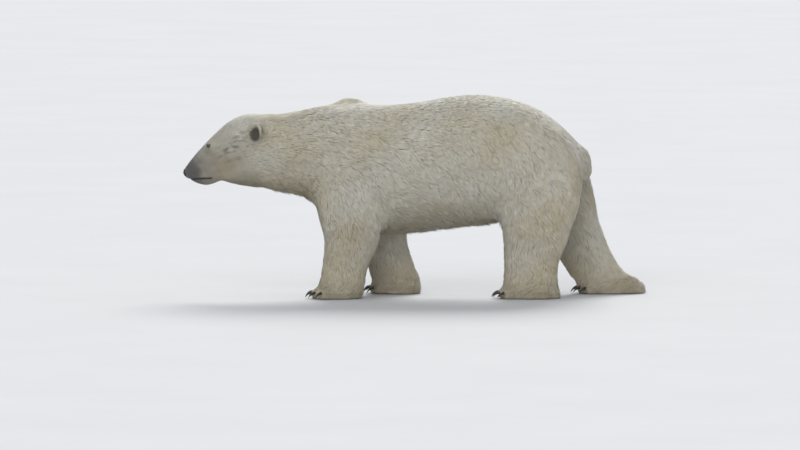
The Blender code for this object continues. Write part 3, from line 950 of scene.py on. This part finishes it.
@dataclass
class Fields:
    """The coat at each vertex of the skin, or at each root.

    Args:
        place: Where it is.
        normal: The skin's normal.
        lie: Which way the fur lies along the skin.
        depth: How far its tips stand from the skin.
        length: Of a tuft.
        width: Of a tuft.
        spacing: Between tufts.
        clump: How far tufts lean together into locks.
        region: Weight of each region.
    """

    place: Array
    normal: Array
    lie: Array
    depth: Array
    length: Array
    width: Array
    spacing: Array
    clump: Array
    region: Array

    def at(self, corners: Array, shares: Array) -> "Fields":
        """The coat inside triangles.

        Args:
            corners: Three vertex numbers for each place.
            shares: The weight of each.

        Returns:
            The coat at the places.
        """

        def mixed(values: Array) -> Array:
            """Values at the places, from those at the corners."""
            flat = values.reshape(len(values), -1)
            return np.einsum("nk,nkd->nd", shares, flat[corners]).reshape(
                (len(corners), *values.shape[1:])
            )

        found = Fields(*(mixed(getattr(self, name)) for name in self.__dataclass_fields__))
        found.normal = unit(found.normal)
        found.lie = unit(found.lie - found.normal * dot(found.lie, found.normal))
        return found

    def only(self, chosen: Array) -> "Fields":
        """The coat at some of the places."""
        return Fields(*(getattr(self, name)[chosen] for name in self.__dataclass_fields__))


class Groom:
    """Works out how the coat lies and how long it is."""

    def __init__(self, skin: Skin) -> None:
        """Keeps the skin that the coat grows on."""
        self.skin = skin

    def lie(self, normals: Array) -> Array:
        """Which way the fur lies at each vertex.

        Args:
            normals: Of the skin.

        Returns:
            Vectors along the skin.
        """
        points = self.skin.surface.points
        x, y, z = points.T
        side = np.sign(y) * ramp(np.abs(y), 0.0, 0.05)
        nx, ny, nz = normals.T
        aside = np.abs(ny)
        zero = np.zeros(len(points))

        def vectors(vx: Array | float, vy: Array | float, vz: Array | float) -> Array:
            """One vector for each place."""
            return np.stack([zero + vx, zero + vy, zero + vz], 1)

        local = HEAD.local(points)
        cheek = ramp(local[:, 0], 0.22, 0.36) * aside
        head = HEAD.vectors(vectors(1.0, 0.10 * side, -0.45 * cheek))
        rear = ramp(x, -0.1, 0.75)
        trunk = vectors(
            1.0 - 0.45 * rear * aside,
            0.28 * side * np.clip(nz, 0, 1) - 0.25 * side * np.clip(-nz, 0, 1),
            -(0.45 + 0.75 * rear) * aside - 1.6 * np.clip(nx, 0, 1),
        )
        neck = vectors(1.0, 0.15 * side * np.clip(nz, 0, 1), -0.40 * aside)
        tail = vectors(0.15, 0.0, -1.0)
        upper = vectors(0.50 + 0.2 * nx, 0.0, -1.0)
        lower = vectors(0.30 + 0.3 * nx, 0.0, -1.0)
        foot = vectors(-0.75, 0.15 * side, -0.85)
        ear = np.stack([0.30 + zero, 0.55 * np.sign(y), 0.80 + zero], 1)
        by_region = {
            Region.MUZZLE: head,
            Region.FACE: head,
            Region.SKULL: head,
            Region.EAR: ear,
            Region.NECK: neck,
            Region.TRUNK: trunk,
            Region.TAIL: tail,
            Region.UPPER: upper,
            Region.LOWER: lower,
            Region.FOOT: foot,
        }
        total = np.zeros_like(points)
        for region, vector in by_region.items():
            total += unit(vector) * self.skin.weights[:, region.value, None]
        for _ in range(3):
            total = unit(total - normals * dot(total, normals))
            total = self.skin.surface.blurred(total, 4)
        return unit(total - normals * dot(total, normals))

    def fields(self) -> Fields:
        """The coat at each vertex of the skin."""
        skin = self.skin
        points = skin.surface.points
        normals = unit(skin.surface.blurred(skin.surface.normals(), 2))
        lie = self.lie(normals)

        def mean(name: str) -> Array:
            """One size of the coat, mixed from the regions."""
            return skin.weights @ np.array([getattr(COATS[r], name) for r in Region])

        length, width, spacing = mean("length"), mean("width"), mean("spacing")
        x, _, z = points.T
        under = ramp(normals[:, 2], -0.25, -0.8)
        body = share_of(skin.weights, (Region.TRUNK, Region.NECK))
        throat = ramp(x, -1.16, -1.0) * ramp(x, -0.45, -0.6) * ramp(z, 0.72, 0.62)
        length *= 1.0 + 0.25 * under * body + 0.35 * throat
        legs = share_of(skin.weights, (Region.UPPER, Region.LOWER))
        length *= 1.0 + 0.35 * legs * ramp(normals[:, 0], 0.3, 0.9)
        for ear in (Ear(-1), Ear(1)):
            length *= 1.0 - 0.50 * ear.before(points)
            width *= 1.0 - 0.35 * ear.before(points)
        near = skin.eye_distance()
        length *= 1.0 - 0.50 * ramp(near, 0.050, 0.020)
        width *= 1.0 - 0.35 * ramp(near, 0.050, 0.022)
        spacing *= 1.0 - 0.46 * ramp(near, 0.050, 0.024)
        return Fields(
            points, normals, lie, skin.depth, length, width, spacing, mean("clump"),
            skin.weights,
        )

    def bare(self, roots: Fields) -> Array:
        """Which roots carry no tuft: lids, lips, nose and soles."""
        local = HEAD.local(roots.place)
        bare = (roots.place[:, 2] < 0.006) & (roots.normal[:, 2] < -0.5)
        for seat in self.skin.eyes:
            spot = seat.local(roots.place)
            edge = seat.opening(spot[:, 0], spot[:, 1])
            close = (np.hypot(spot[:, 0], spot[:, 1]) < 0.022) & (spot[:, 2] > -0.006)
            bare |= close & (edge < 0.0030)
        lip = Mouth().distance(roots.place)
        bare |= (np.abs(lip) < 0.0042) & (local[:, 0] < 0.145)
        bare |= Nose().covers(roots.place)
        return bare


@dataclass(frozen=True)
class Nose:
    """The leather pad at the tip of the muzzle, with its two nostrils."""

    middle: tuple[float, float, float] = (0.042, 0.0, -0.020)
    lowest: float = math.radians(-34.0)
    highest: float = math.radians(60.0)
    half_turn: float = math.radians(47.0)
    foot_turn: float = math.radians(19.0)
    top_turn: float = math.radians(44.0)
    steps: int = 84

    def turn_at(self, share: Array) -> Array:
        """How far the pad reaches round the muzzle.

        Args:
            share: 0 at its foot, 1 at its top.

        Returns:
            Half of its breadth as an angle.
        """
        rise = ramp(share, 0.02, 0.50)
        turn = self.foot_turn + (self.half_turn - self.foot_turn) * rise
        return turn + (self.top_turn - self.half_turn) * ramp(share, 0.6, 1.0)

    def shares(self, points: Array) -> tuple[Array, Array]:
        """Where places lie on the pad: across, -1 to 1, and up, 0 to 1."""
        along, out, up = (HEAD.local(points) - np.array(self.middle)).T
        tall = np.arctan2(up, np.hypot(along, out))
        share = (tall - self.lowest) / (self.highest - self.lowest)
        return np.arctan2(out, -along) / self.turn_at(share), share

    def covers(self, points: Array, reach: float = 0.97) -> Array:
        """Which places the pad covers, out to a share of its breadth."""
        along = HEAD.local(points)[:, 0]
        across, share = self.shares(points)
        level = (np.abs(across) / reach) ** 4.0 + (np.abs(2 * share - 1) / reach) ** 4.0
        return (along < 0.060) & (level < 1.0)

    def build(self, skin: Skin) -> Object:
        """Lays a grid over the muzzle's tip, pads it out, sinks the nostrils and paints shade
        into the sunk parts.

        Args:
            skin: What the pad sits on.

        Returns:
            The pad's object.
        """
        place = HEAD.matrix()
        middle = place @ Vector(self.middle)
        bm = bmesh.new()
        bmesh.ops.create_grid(bm, x_segments=self.steps, y_segments=self.steps, size=1.0)
        shades = []
        for vertex in bm.verts:
            u, v = vertex.co.x, vertex.co.y
            across = u * (1.0 - 0.16 * v**4)
            share = (v * (1.0 - 0.12 * u**4) + 1) / 2
            turn = across * float(self.turn_at(np.array([share]))[0])
            tall = self.lowest + (self.highest - self.lowest) * share
            towards = place.to_3x3() @ Vector(
                (
                    -math.cos(turn) * math.cos(tall),
                    math.sin(turn) * math.cos(tall),
                    math.sin(tall),
                )
            )
            spot, normal, _, _ = skin.muzzle.ray_cast(middle, towards, 0.3)
            if spot is None:
                spot, normal = middle + towards * 0.04, towards
            height = self.profile(across, share, 1.0 - max(abs(u), abs(v)))
            vertex.co = spot + (normal + towards).normalized() * height
            # Painted shade: the leather is darker where it is sunk, in the nostrils and the
            # cleft, and lighter where it is raised.
            shades.append(0.55 + 0.45 * min(1.0, max(0.0, (height + 0.003) / 0.006)))
        obj = linked("nose_pad", mesh_of(bm, "nose_pad"))
        base = np.array(LeatherFinish().colour)
        paint(obj.data, "Coat", base * np.array(shades)[:, None])
        adopt(obj, LeatherFinish().material())
        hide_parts("nose")
        return obj

    @staticmethod
    def profile(across: float, share: float, edge: float) -> float:
        """How far the leather stands off the muzzle.

        Args:
            across: -1 to 1 over the pad.
            share: 0 at its foot, 1 at its top.
            edge: 0 on its rim, 1 in its middle.

        Returns:
            A height in metres; below 0 is sunk.
        """
        rise = min(edge / 0.14, 1.0)
        height = -0.0022 + 0.0052 * math.sin(rise * math.pi / 2)
        side = abs(across)
        hole_x, hole_y = (side - 0.46) / 0.19, (share - 0.47) / 0.135
        hole = math.exp(-((hole_x**2 + hole_y**2) ** 1.7))
        slit_x, slit_y = (side - 0.74) / 0.24, (share - 0.40 + (side - 0.5) * 0.18) / 0.040
        slit = math.exp(-((slit_x**2 + slit_y**2) ** 1.3))
        ring = math.exp(-((math.hypot(hole_x, hole_y) - 1.55) ** 2) / 0.16)
        ring *= 1.0 if share > 0.40 else 0.4
        cleft = math.exp(-((across / 0.050) ** 2)) / (1.0 + math.exp((share - 0.55) * 30.0))
        height += 0.0018 * ring
        height -= 0.0105 * max(hole, 0.70 * slit) + 0.0024 * cleft
        return height


@dataclass(frozen=True)
class Eyes:
    """The two eyeballs, each with cornea, iris and pupil."""

    pupil: float = 0.0034
    iris: float = 0.0078
    cornea: float = 0.0085
    bulge: float = 0.0009
    black: tuple[float, float, float] = (0.003, 0.003, 0.003)
    brown: tuple[float, float, float] = (0.050, 0.026, 0.012)
    white: tuple[float, float, float] = (0.030, 0.022, 0.018)

    def build(self, seats: Iterable[EyeSeat]) -> None:
        """Makes both eyes in their seats.

        Args:
            seats: Where they sit.
        """
        material = EyeFinish().material()
        for seat in seats:
            bm = bmesh.new()
            bmesh.ops.create_uvsphere(bm, u_segments=40, v_segments=28, radius=seat.radius)
            shades = []
            for vertex in bm.verts:
                rim = math.hypot(vertex.co.x, vertex.co.y)
                if vertex.co.z > 0:
                    vertex.co.z += self.bulge * max(0.0, 1.0 - (rim / self.cornea) ** 2)
                if vertex.co.z > 0 and rim < self.pupil:
                    shades.append(self.black)
                elif vertex.co.z > 0 and rim < self.iris:
                    shades.append(self.brown)
                else:
                    shades.append(self.white)
            turn = Matrix([Vector(row) for row in seat.axes]).transposed().to_4x4()
            bm.transform(Matrix.Translation(seat.middle) @ turn)
            obj = linked(f"eyeball_{seat.label}", mesh_of(bm, f"eyeball_{seat.label}"))
            paint(obj.data, "Coat", np.array(shades))
            adopt(obj, material)
            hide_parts(f"eye_{seat.label}")


@dataclass(frozen=True)
class Foot:
    """One foot's place and size, as in the solids."""

    middle: float
    half_length: float
    half_width: float
    toe_in: float


FEET = {
    "foreleg_left": Foot(-0.480, 0.150, 0.122, math.radians(9.0)),
    "foreleg_right": Foot(-0.128, 0.158, 0.122, math.radians(9.0)),
    "hindleg_left": Foot(0.675, 0.190, 0.112, math.radians(-4.0)),
    "hindleg_right": Foot(1.178, 0.212, 0.112, math.radians(-4.0)),
}


@dataclass(frozen=True)
class Claws:
    """Five curved claws on each foot."""

    stance: float = 0.205
    toe_long: float = 0.054
    toe_wide: float = 0.029
    toe_height: float = 0.030
    fan: float = math.radians(38.0)
    length: float = 0.052
    radius: float = 0.0075
    droop: float = math.radians(62.0)
    sink: float = 0.016
    rings: int = 9
    sides: int = 12

    def roots(self, leg: str) -> list[Matrix]:
        """The frame of each claw's root, from the inner to the outer toe."""
        foot = FEET[leg]
        side = -1 if leg.endswith("left") else 1
        turn = Matrix.Rotation(math.pi - side * foot.toe_in, 4, "Z")
        place = Matrix.Translation((foot.middle, side * self.stance, 0.0)) @ turn
        found = []
        for i in range(5):
            share = 2 * i / 4 - 1
            out = share * (foot.half_width - self.toe_wide * 0.9)
            along = foot.half_length - self.toe_long * 0.75 - 0.038 * share**2
            toe = Matrix.Translation((along, out, self.toe_height))
            toe = toe @ Matrix.Rotation(share * self.fan * 0.45, 4, "Z")
            root = Matrix.Translation((self.toe_long - self.sink, 0.0, 0.010))
            found.append(place @ toe @ root)
        return found

    def one(self) -> bmesh.types.BMesh:
        """One claw that heads along +X and droops, pointed and oval across."""
        bm = bmesh.new()
        bmesh.ops.create_cone(
            bm,
            segments=self.sides,
            radius1=1.0,
            radius2=1.0,
            depth=1.0,
            cap_ends=True,
            matrix=Matrix.Translation((0.0, 0.0, 0.5)),
        )
        for i in range(1, self.rings):
            bmesh.ops.bisect_plane(
                bm,
                geom=bm.verts[:] + bm.edges[:] + bm.faces[:],
                plane_co=(0.0, 0.0, i / self.rings),
                plane_no=(0.0, 0.0, 1.0),
            )
        for vertex in bm.verts:
            share = vertex.co.z
            wide, tall = vertex.co.x, vertex.co.y
            radius = self.radius * (1.0 - 0.90 * share**1.4)
            heading = 0.10 + self.droop * share / 2
            reach = self.length * share
            lean = 0.10 + self.droop * share
            vertex.co = (
                reach * math.cos(heading) + tall * radius * 1.25 * math.sin(lean),
                wide * radius * 0.78,
                -reach * math.sin(heading) + tall * radius * 1.25 * math.cos(lean),
            )
        return bm

    def build(self) -> None:
        """Makes the claws of each foot as one piece."""
        material = HornFinish().material()
        for leg in LEGS:
            whole = bmesh.new()
            for root in self.roots(leg):
                claw = self.one()
                claw.transform(root)
                part = mesh_of(claw, "claw")
                whole.from_mesh(part)
                bpy.data.meshes.remove(part)
            obj = linked(f"claws_{leg}", mesh_of(whole, f"claws_{leg}"))
            heights = np.array([v.co.z for v in obj.data.vertices])
            tip = ramp(heights, 0.016, 0.004)[:, None]
            horn = np.array([[0.030, 0.025, 0.022]])
            paint(obj.data, "Coat", horn * (1 - tip) + np.array([[0.11, 0.09, 0.07]]) * tip)
            adopt(obj, material)
            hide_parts(*[f"claw_{leg}_{i}" for i in range(1, 6)])


class Shape(Enum):
    """The two shapes of tuft: bent, for long fur, and straight, for short fur."""

    BENT = (0.0, BEND, 1.0)
    STRAIGHT = (0.0, 1.0)


@dataclass
class Tuft:
    """A three-sided spike, from root to tip along +X.

    Args:
        shape: Where its rings stand.
    """

    shape: Shape

    def template(self) -> tuple[Array, list[list[int]]]:
        """The spike, of unit length and width.

        Returns:
            A row (along, across, up, ring) for each vertex, and the faces.
        """
        stations = self.shape.value
        bm = bmesh.new()
        bmesh.ops.create_cone(
            bm,
            segments=3,
            radius1=0.5,
            radius2=0.0,
            depth=1.0,
            cap_ends=False,
            matrix=Matrix.Translation((0.0, 0.0, 0.5)),
        )
        for station in stations[1:-1]:
            bmesh.ops.bisect_plane(
                bm,
                geom=bm.verts[:] + bm.edges[:] + bm.faces[:],
                plane_co=(0.0, 0.0, station),
                plane_no=(0.0, 0.0, 1.0),
            )
        bmesh.ops.remove_doubles(bm, verts=bm.verts, dist=1e-5)
        bmesh.ops.recalc_face_normals(bm, faces=bm.faces)
        bm.verts.ensure_lookup_table()
        rows = []
        for vertex in bm.verts:
            ring = min(range(len(stations)), key=lambda i: abs(stations[i] - vertex.co.z))
            angle = math.atan2(vertex.co.y, vertex.co.x)
            reach = 0.0 if ring == len(stations) - 1 else (0.5 if ring == 0 else 0.46)
            rows.append((stations[ring], reach * math.sin(angle), reach * math.cos(angle), ring))
        faces = [[v.index for v in face.verts] for face in bm.faces]
        bm.free()
        return np.array(rows), faces


class Unwrap(Enum):
    """How a coat piece's roots are laid flat: round the trunk, the head or a leg."""

    TRUNK = 0
    HEAD = 1
    LEG = 2

    def flat(self, places: Array) -> Array:
        """Each root's place on the map, 0 to 1 both ways."""
        if self is Unwrap.HEAD:
            along, out, up = HEAD.local(places).T
            flat = np.stack((along, np.arctan2(out, up + 0.045)), 1)
        elif self is Unwrap.LEG:
            x, y, z = places.T
            slope = np.polyfit(z, x, 2)
            turn = np.arctan2(y - y.mean(), x - np.polyval(slope, z))
            flat = np.stack((turn, z), 1)
        else:
            x, y, z = places.T
            flat = np.stack((x, np.arctan2(y, z - 0.78)), 1)
        low, high = flat.min(0), flat.max(0)
        return 0.004 + 0.988 * (flat - low) / np.maximum(high - low, 1e-9)


@dataclass
class CoatPiece:
    """One mesh of tufts.

    Args:
        name: Of the piece.
        shape: Of its tufts.
        unwrap: How its map is laid flat.
        chosen: Which roots it takes.
    """

    name: str
    shape: Shape
    unwrap: Unwrap
    chosen: Array


class Coat:
    """The fur: tufts over the whole skin, joined into a few meshes."""

    PATCH = 0.003  # breadth of a tuft on the map OFBake
    SUNK = 0.0015  # of a root, in the skin
    LOWEST = 0.0012  # nothing of the coat is nearer the floor
    SOFTNESS = 0.60  # how far a tuft is shaded as the body under it is
    LOCK_SHARE = 0.035  # of the tufts, those that others lean towards
    # Painted shade: a tuft is darker at its root and bend and lighter at its tip, as light falls
    # on the coat.
    PAINTED_ROOT_SHADE = (0.80, 0.94, 1.04)  # of a tuft at its root, its bend and its tip
    MOST_BENT = 21500
    MOST_STRAIGHT = 64000

    def __init__(self, skin: Skin, markings: Markings, thin: float) -> None:
        """Keeps what the coat grows on.

        Args:
            skin: The skin.
            markings: The coat's colours.
            thin: The share of the tufts that is made, 1 for all.
        """
        self.skin = skin
        self.markings = markings
        self.thin = thin
        self.draw = np.random.default_rng(SEED)
        self.groom = Groom(skin)
        self.tree = skin.surface.tree()
        self.fields = self.groom.fields()

    def roots(self) -> Fields:
        """Scatters roots over the skin, each triangle getting its share."""
        surface = self.skin.surface
        corners = surface.triangles
        spacing = self.fields.spacing[corners].mean(1)
        wanted = surface.areas() / spacing**2 * self.thin
        count = np.floor(wanted + self.draw.random(len(wanted))).astype(int)
        owner = np.repeat(np.arange(len(count)), count)
        a, b = self.draw.random((2, len(owner)))
        flip = a + b > 1
        a[flip], b[flip] = 1 - a[flip], 1 - b[flip]
        shares = np.stack((1 - a - b, a, b), 1)
        roots = self.fields.at(corners[owner], shares)
        return roots.only(~self.groom.bare(roots))

    def on_skin(self, places: Array) -> tuple[Array, Array]:
        """The nearest places on the skin, and its normals there."""
        normals = self.fields.normal
        triangles = self.skin.surface.triangles
        found = [self.tree.find_nearest(p) for p in places.tolist()]
        spots = np.array([tuple(f[0]) for f in found])
        index = np.array([f[2] for f in found])
        return spots, unit(normals[triangles[index]].sum(1))

    def swirled(self, roots: Fields) -> Array:
        """The lie at each root, with the coat's waves and each tuft's own wander."""
        broad = 0.16 * ripple(roots.place, 0.24, 21)
        wave = 0.17 * ripple(roots.place, 0.075, 22)
        own = 0.09 * self.draw.normal(size=len(roots.place))
        calm = 1.0 - 0.7 * share_of(roots.region, HEAD_REGIONS)
        angle = ((broad + wave + own) * calm)[:, None]
        across = np.cross(roots.normal, roots.lie)
        return unit(roots.lie * np.cos(angle) + across * np.sin(angle))

    def lines(self, roots: Fields) -> tuple[Array, Array, Array]:
        """The middle line of each tuft.

        Args:
            roots: Where the tufts stand.

        Returns:
            Places, headings and normals, each with three rows (root, bend, tip) a tuft.
        """
        lie = self.swirled(roots)
        count = len(roots.place)
        length = roots.length * self.draw.uniform(0.75, 1.2, count)
        stand = roots.depth * self.draw.uniform(0.72, 1.03, count)
        under = ramp(roots.normal[:, 2], -0.2, -0.8) * share_of(roots.region, FRINGED_REGIONS)
        stand *= 1.0 + 1.2 * under * self.draw.random(count) ** 3
        picked = np.flatnonzero(self.draw.random(count) < self.LOCK_SHARE)
        centres = KDTree(len(picked))
        for i, place in zip(picked.tolist(), roots.place[picked].tolist()):
            centres.insert(place, i)
        centres.balance()
        jitter = self.draw.normal(size=(count, 3)) * 0.003
        lock = np.array([centres.find(p)[1] for p in (roots.place + jitter).tolist()])
        own_tip = roots.place + lie * length[:, None]
        lock_tip = roots.place[lock] + lie[lock] * (length[lock] * 1.02)[:, None]
        pull = (roots.clump * self.draw.uniform(0.5, 1.3, count))[:, None]
        tip = own_tip + (lock_tip - own_tip) * pull
        bend = roots.place + (own_tip - roots.place) * BEND
        bend += (tip - own_tip) * 0.28
        bend_base, bend_normal = self.on_skin(bend + roots.normal * 0.004)
        tip_base, tip_normal = self.on_skin(tip + roots.normal * 0.004)
        places = np.stack(
            (
                roots.place - roots.normal * self.SUNK,
                bend_base + bend_normal * (stand * 0.60)[:, None],
                tip_base + tip_normal * stand[:, None],
            ),
            1,
        )
        normals = np.stack((roots.normal, bend_normal, tip_normal), 1)
        first = unit(places[:, 1] - places[:, 0])
        last = unit(places[:, 2] - places[:, 1])
        headings = np.stack((first, unit(first + last), last), 1)
        return places, headings, normals

    def piece(self, plan: CoatPiece, roots: Fields, lines: tuple[Array, ...]) -> Object:
        """Joins the tufts of one piece into a mesh.

        Args:
            plan: What the piece is.
            roots: All roots.
            lines: The tufts' middle lines.

        Returns:
            The piece's object.
        """
        rows, faces = Tuft(plan.shape).template()
        chosen = plan.chosen
        ring = rows[:, 3].astype(int)
        if plan.shape is Shape.STRAIGHT:
            ring = ring * 2
        places, headings, normals = (part[chosen][:, ring] for part in lines)
        across = unit(np.cross(headings, normals))
        up = unit(np.cross(across, headings))
        width = roots.width[chosen] * self.draw.uniform(0.7, 1.3, len(chosen))
        width = width[:, None, None]
        points = places + across * rows[None, :, 1:2] * width
        points = points + up * rows[None, :, 2:3] * width * 0.75
        points[..., 2] = np.maximum(points[..., 2], self.LOWEST)
        mesh = self.mesh(plan.name, points, faces)
        round_off = unit(across * rows[None, :, 1:2] + up * rows[None, :, 2:3] + up * 1e-4)
        soft = unit(round_off * (1.0 - self.SOFTNESS) + normals * self.SOFTNESS)
        self.map(mesh, plan, roots.place[chosen], rows, faces)
        mesh.shade_smooth()
        mesh.normals_split_custom_set_from_vertices(soft.reshape(-1, 3))
        colours = self.markings.colour(roots.place[chosen], roots.normal[chosen])
        tint = self.draw.normal(1.0, 0.035, (len(chosen), 1))
        warm = self.draw.normal(0.0, 0.008, (len(chosen), 1)) * np.array([[0.6, 0.0, -1.0]])
        colours = (colours * tint + warm)[:, None, :]
        # Painted shade along each tuft: dark at the root, light at the tip.
        shade = np.interp(rows[:, 0], Shape.BENT.value, self.PAINTED_ROOT_SHADE)
        paint(mesh, "Coat", (colours * shade[None, :, None]).reshape(-1, 3))
        return linked(plan.name, mesh)

    @staticmethod
    def mesh(name: str, points: Array, faces: list[list[int]]) -> Mesh:
        """One mesh that repeats the faces of the template for each tuft.

        Args:
            name: Of the mesh.
            points: Tufts by vertices by 3.
            faces: Of one tuft.

        Returns:
            The mesh.
        """
        tufts, size = points.shape[:2]
        corners = np.concatenate([np.array(face) for face in faces])
        counts = np.array([len(face) for face in faces])
        shift = np.arange(tufts)[:, None] * size
        loops = (corners[None, :] + shift).ravel().astype(np.int32)
        totals = np.tile(counts, tufts)
        starts = np.concatenate(([0], np.cumsum(totals)[:-1])).astype(np.int32)
        mesh = bpy.data.meshes.new(name)
        mesh.vertices.add(tufts * size)
        mesh.vertices.foreach_set("co", points.reshape(-1).astype(np.float32))
        mesh.loops.add(len(loops))
        mesh.loops.foreach_set("vertex_index", loops)
        mesh.polygons.add(len(totals))
        mesh.polygons.foreach_set("loop_start", starts)
        mesh.update(calc_edges=True)
        return mesh

    def map(
        self, mesh: Mesh, plan: CoatPiece, places: Array, rows: Array, faces: list[list[int]]
    ) -> None:
        """Adds the two maps: OFBake, a small patch a tuft, and Strand, for its grain.

        Args:
            mesh: Of the piece.
            plan: What the piece is.
            places: Its roots.
            rows: The template's vertices.
            faces: The template's faces.
        """
        corners = np.concatenate([np.array(face) for face in faces])
        patch = np.stack((rows[:, 0], rows[:, 1] + rows[:, 2] * 0.6 + 0.5), 1)[corners]
        spots = plan.unwrap.flat(places)
        baked = spots[:, None, :] + (patch[None] - 0.5) * self.PATCH
        bake = mesh.uv_layers.new(name="OFBake")
        bake.data.foreach_set("uv", np.clip(baked, 0.0, 1.0).astype(np.float32).ravel())
        grain = patch * np.array([[0.5, 7.0]])
        offset = self.draw.random((len(places), 1, 2)) * 90.0
        strand = mesh.uv_layers.new(name="Strand")
        strand.data.foreach_set("uv", (grain[None] + offset).astype(np.float32).ravel())

    def plans(self, roots: Fields) -> list[CoatPiece]:
        """Shares the roots out among the pieces."""
        x, y, _ = roots.place.T
        weight = roots.region
        head = share_of(weight, HEAD_REGIONS) > 0.5
        short = share_of(weight, SHORT_REGIONS) > 0.6
        feet = (weight[:, Region.FOOT.value] > 0.8) & (roots.place[:, 2] < 0.05)
        legs = share_of(weight, LEG_REGIONS) > 0.5
        left = y < 0
        whole: list[CoatPiece] = []

        def add(name: str, shape: Shape, unwrap: Unwrap, mask: Array) -> None:
            """Plans one piece, or several where it has too many tufts."""
            chosen = np.flatnonzero(mask)
            most = self.MOST_BENT if shape is Shape.BENT else self.MOST_STRAIGHT
            parts = max(1, math.ceil(len(chosen) / most))
            order = chosen[np.argsort(x[chosen], kind="stable")]
            for i, part in enumerate(np.array_split(order, parts)):
                label = name if parts == 1 else f"{name}_{i + 1}"
                whole.append(CoatPiece(label, shape, unwrap, part))

        add("coat_face", Shape.STRAIGHT, Unwrap.HEAD, head & short)
        add("coat_head", Shape.BENT, Unwrap.HEAD, head & ~short)
        for leg in LEGS:
            mask = legs & (left == leg.endswith("left"))
            mask &= (x < 0.2) == leg.startswith("foreleg")
            add(f"coat_{leg}", Shape.BENT, Unwrap.LEG, mask & ~feet)
            add(f"coat_{leg}_foot", Shape.STRAIGHT, Unwrap.LEG, mask & feet)
        body = ~head & ~legs
        add("coat_left", Shape.BENT, Unwrap.TRUNK, body & left)
        add("coat_right", Shape.BENT, Unwrap.TRUNK, body & ~left)
        return whole

    def build(self) -> None:
        """Makes all the coat's pieces."""
        roots = self.roots()
        LOG.info("%d tufts", len(roots.place))
        lines = self.lines(roots)
        material = FurFinish().tufts()
        for plan in self.plans(roots):
            adopt(self.piece(plan, roots, lines), material)


@dataclass(frozen=True)
class Studio:
    """A pale floor, soft light and the camera."""

    aim: tuple[float, float, float] = (-0.1005, 0.0, 0.426)
    elevation: float = math.radians(4.0)
    distance: float = 53.33
    lens: float = 400.0
    half_floor: float = 90.0

    def floor(self) -> None:
        """The floor that the soles stand on."""
        bm = bmesh.new()
        bmesh.ops.create_grid(bm, x_segments=1, y_segments=1, size=self.half_floor)
        floor = linked("floor", mesh_of(bm, "floor"))
        graph = Graph("floor")
        shade = graph.noise(0.9, 4.0, 0.6, graph.place())
        colour = graph.node("ShaderNodeCombineColor")
        value = graph.spread(shade, 0.56, 0.59)
        for channel in ("Red", "Green", "Blue"):
            graph.join(value, colour.inputs[channel])
        graph.join(colour.outputs["Color"], graph.shader.inputs["Base Color"])
        graph.shader.inputs["Roughness"].default_value = 0.85
        floor.data.materials.append(graph.material)

    def light(self) -> None:
        """Even light from all round, with a soft high sun from behind."""
        world = bpy.data.worlds.new("studio")
        bpy.context.scene.world = world
        world.use_nodes = True
        background = world.node_tree.nodes["Background"]
        background.inputs["Color"].default_value = (0.86, 0.90, 0.96, 1.0)
        background.inputs["Strength"].default_value = 0.62
        for name, turn, energy, spread in (
            ("back", (math.radians(-50), math.radians(10), 0.0), 2.5, 30.0),
            ("key", (math.radians(56), math.radians(-24), 0.0), 1.05, 40.0),
        ):
            sun = bpy.data.lights.new(name, "SUN")
            sun.energy = energy
            sun.angle = math.radians(spread)
            obj = bpy.data.objects.new(name, sun)
            obj.rotation_euler = turn
            bpy.context.scene.collection.objects.link(obj)

    def camera(self) -> None:
        """A long lens, level with the bear's shoulder, square to its left side."""
        data = bpy.data.cameras.new("camera")
        data.lens = self.lens
        data.sensor_width = 36.0
        data.clip_end = 400.0
        obj = bpy.data.objects.new("camera", data)
        reach = Vector((0.0, -math.cos(self.elevation), math.sin(self.elevation)))
        obj.location = Vector(self.aim) + reach * self.distance
        obj.rotation_euler = (math.pi / 2 - self.elevation, 0.0, 0.0)
        bpy.context.scene.collection.objects.link(obj)
        bpy.context.scene.camera = obj

    def build(self) -> None:
        """Sets up the whole studio."""
        self.floor()
        self.light()
        self.camera()
        bpy.context.scene.view_settings.view_transform = "Standard"


def main() -> None:
    """Builds the bear's looks piece by piece, and notes the sizes."""
    logging.basicConfig(level=logging.INFO, format="%(message)s")
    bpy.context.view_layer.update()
    markings = Markings()
    skin = Skin(frame["nodes"])
    body = skin.build()
    skin.dress(body, markings)
    Eyes().build(skin.eyes)
    Nose().build(skin)
    Claws().build()
    Coat(skin, markings, 1.0).build()
    Studio().build()


if __name__ == "__main__":
    main()
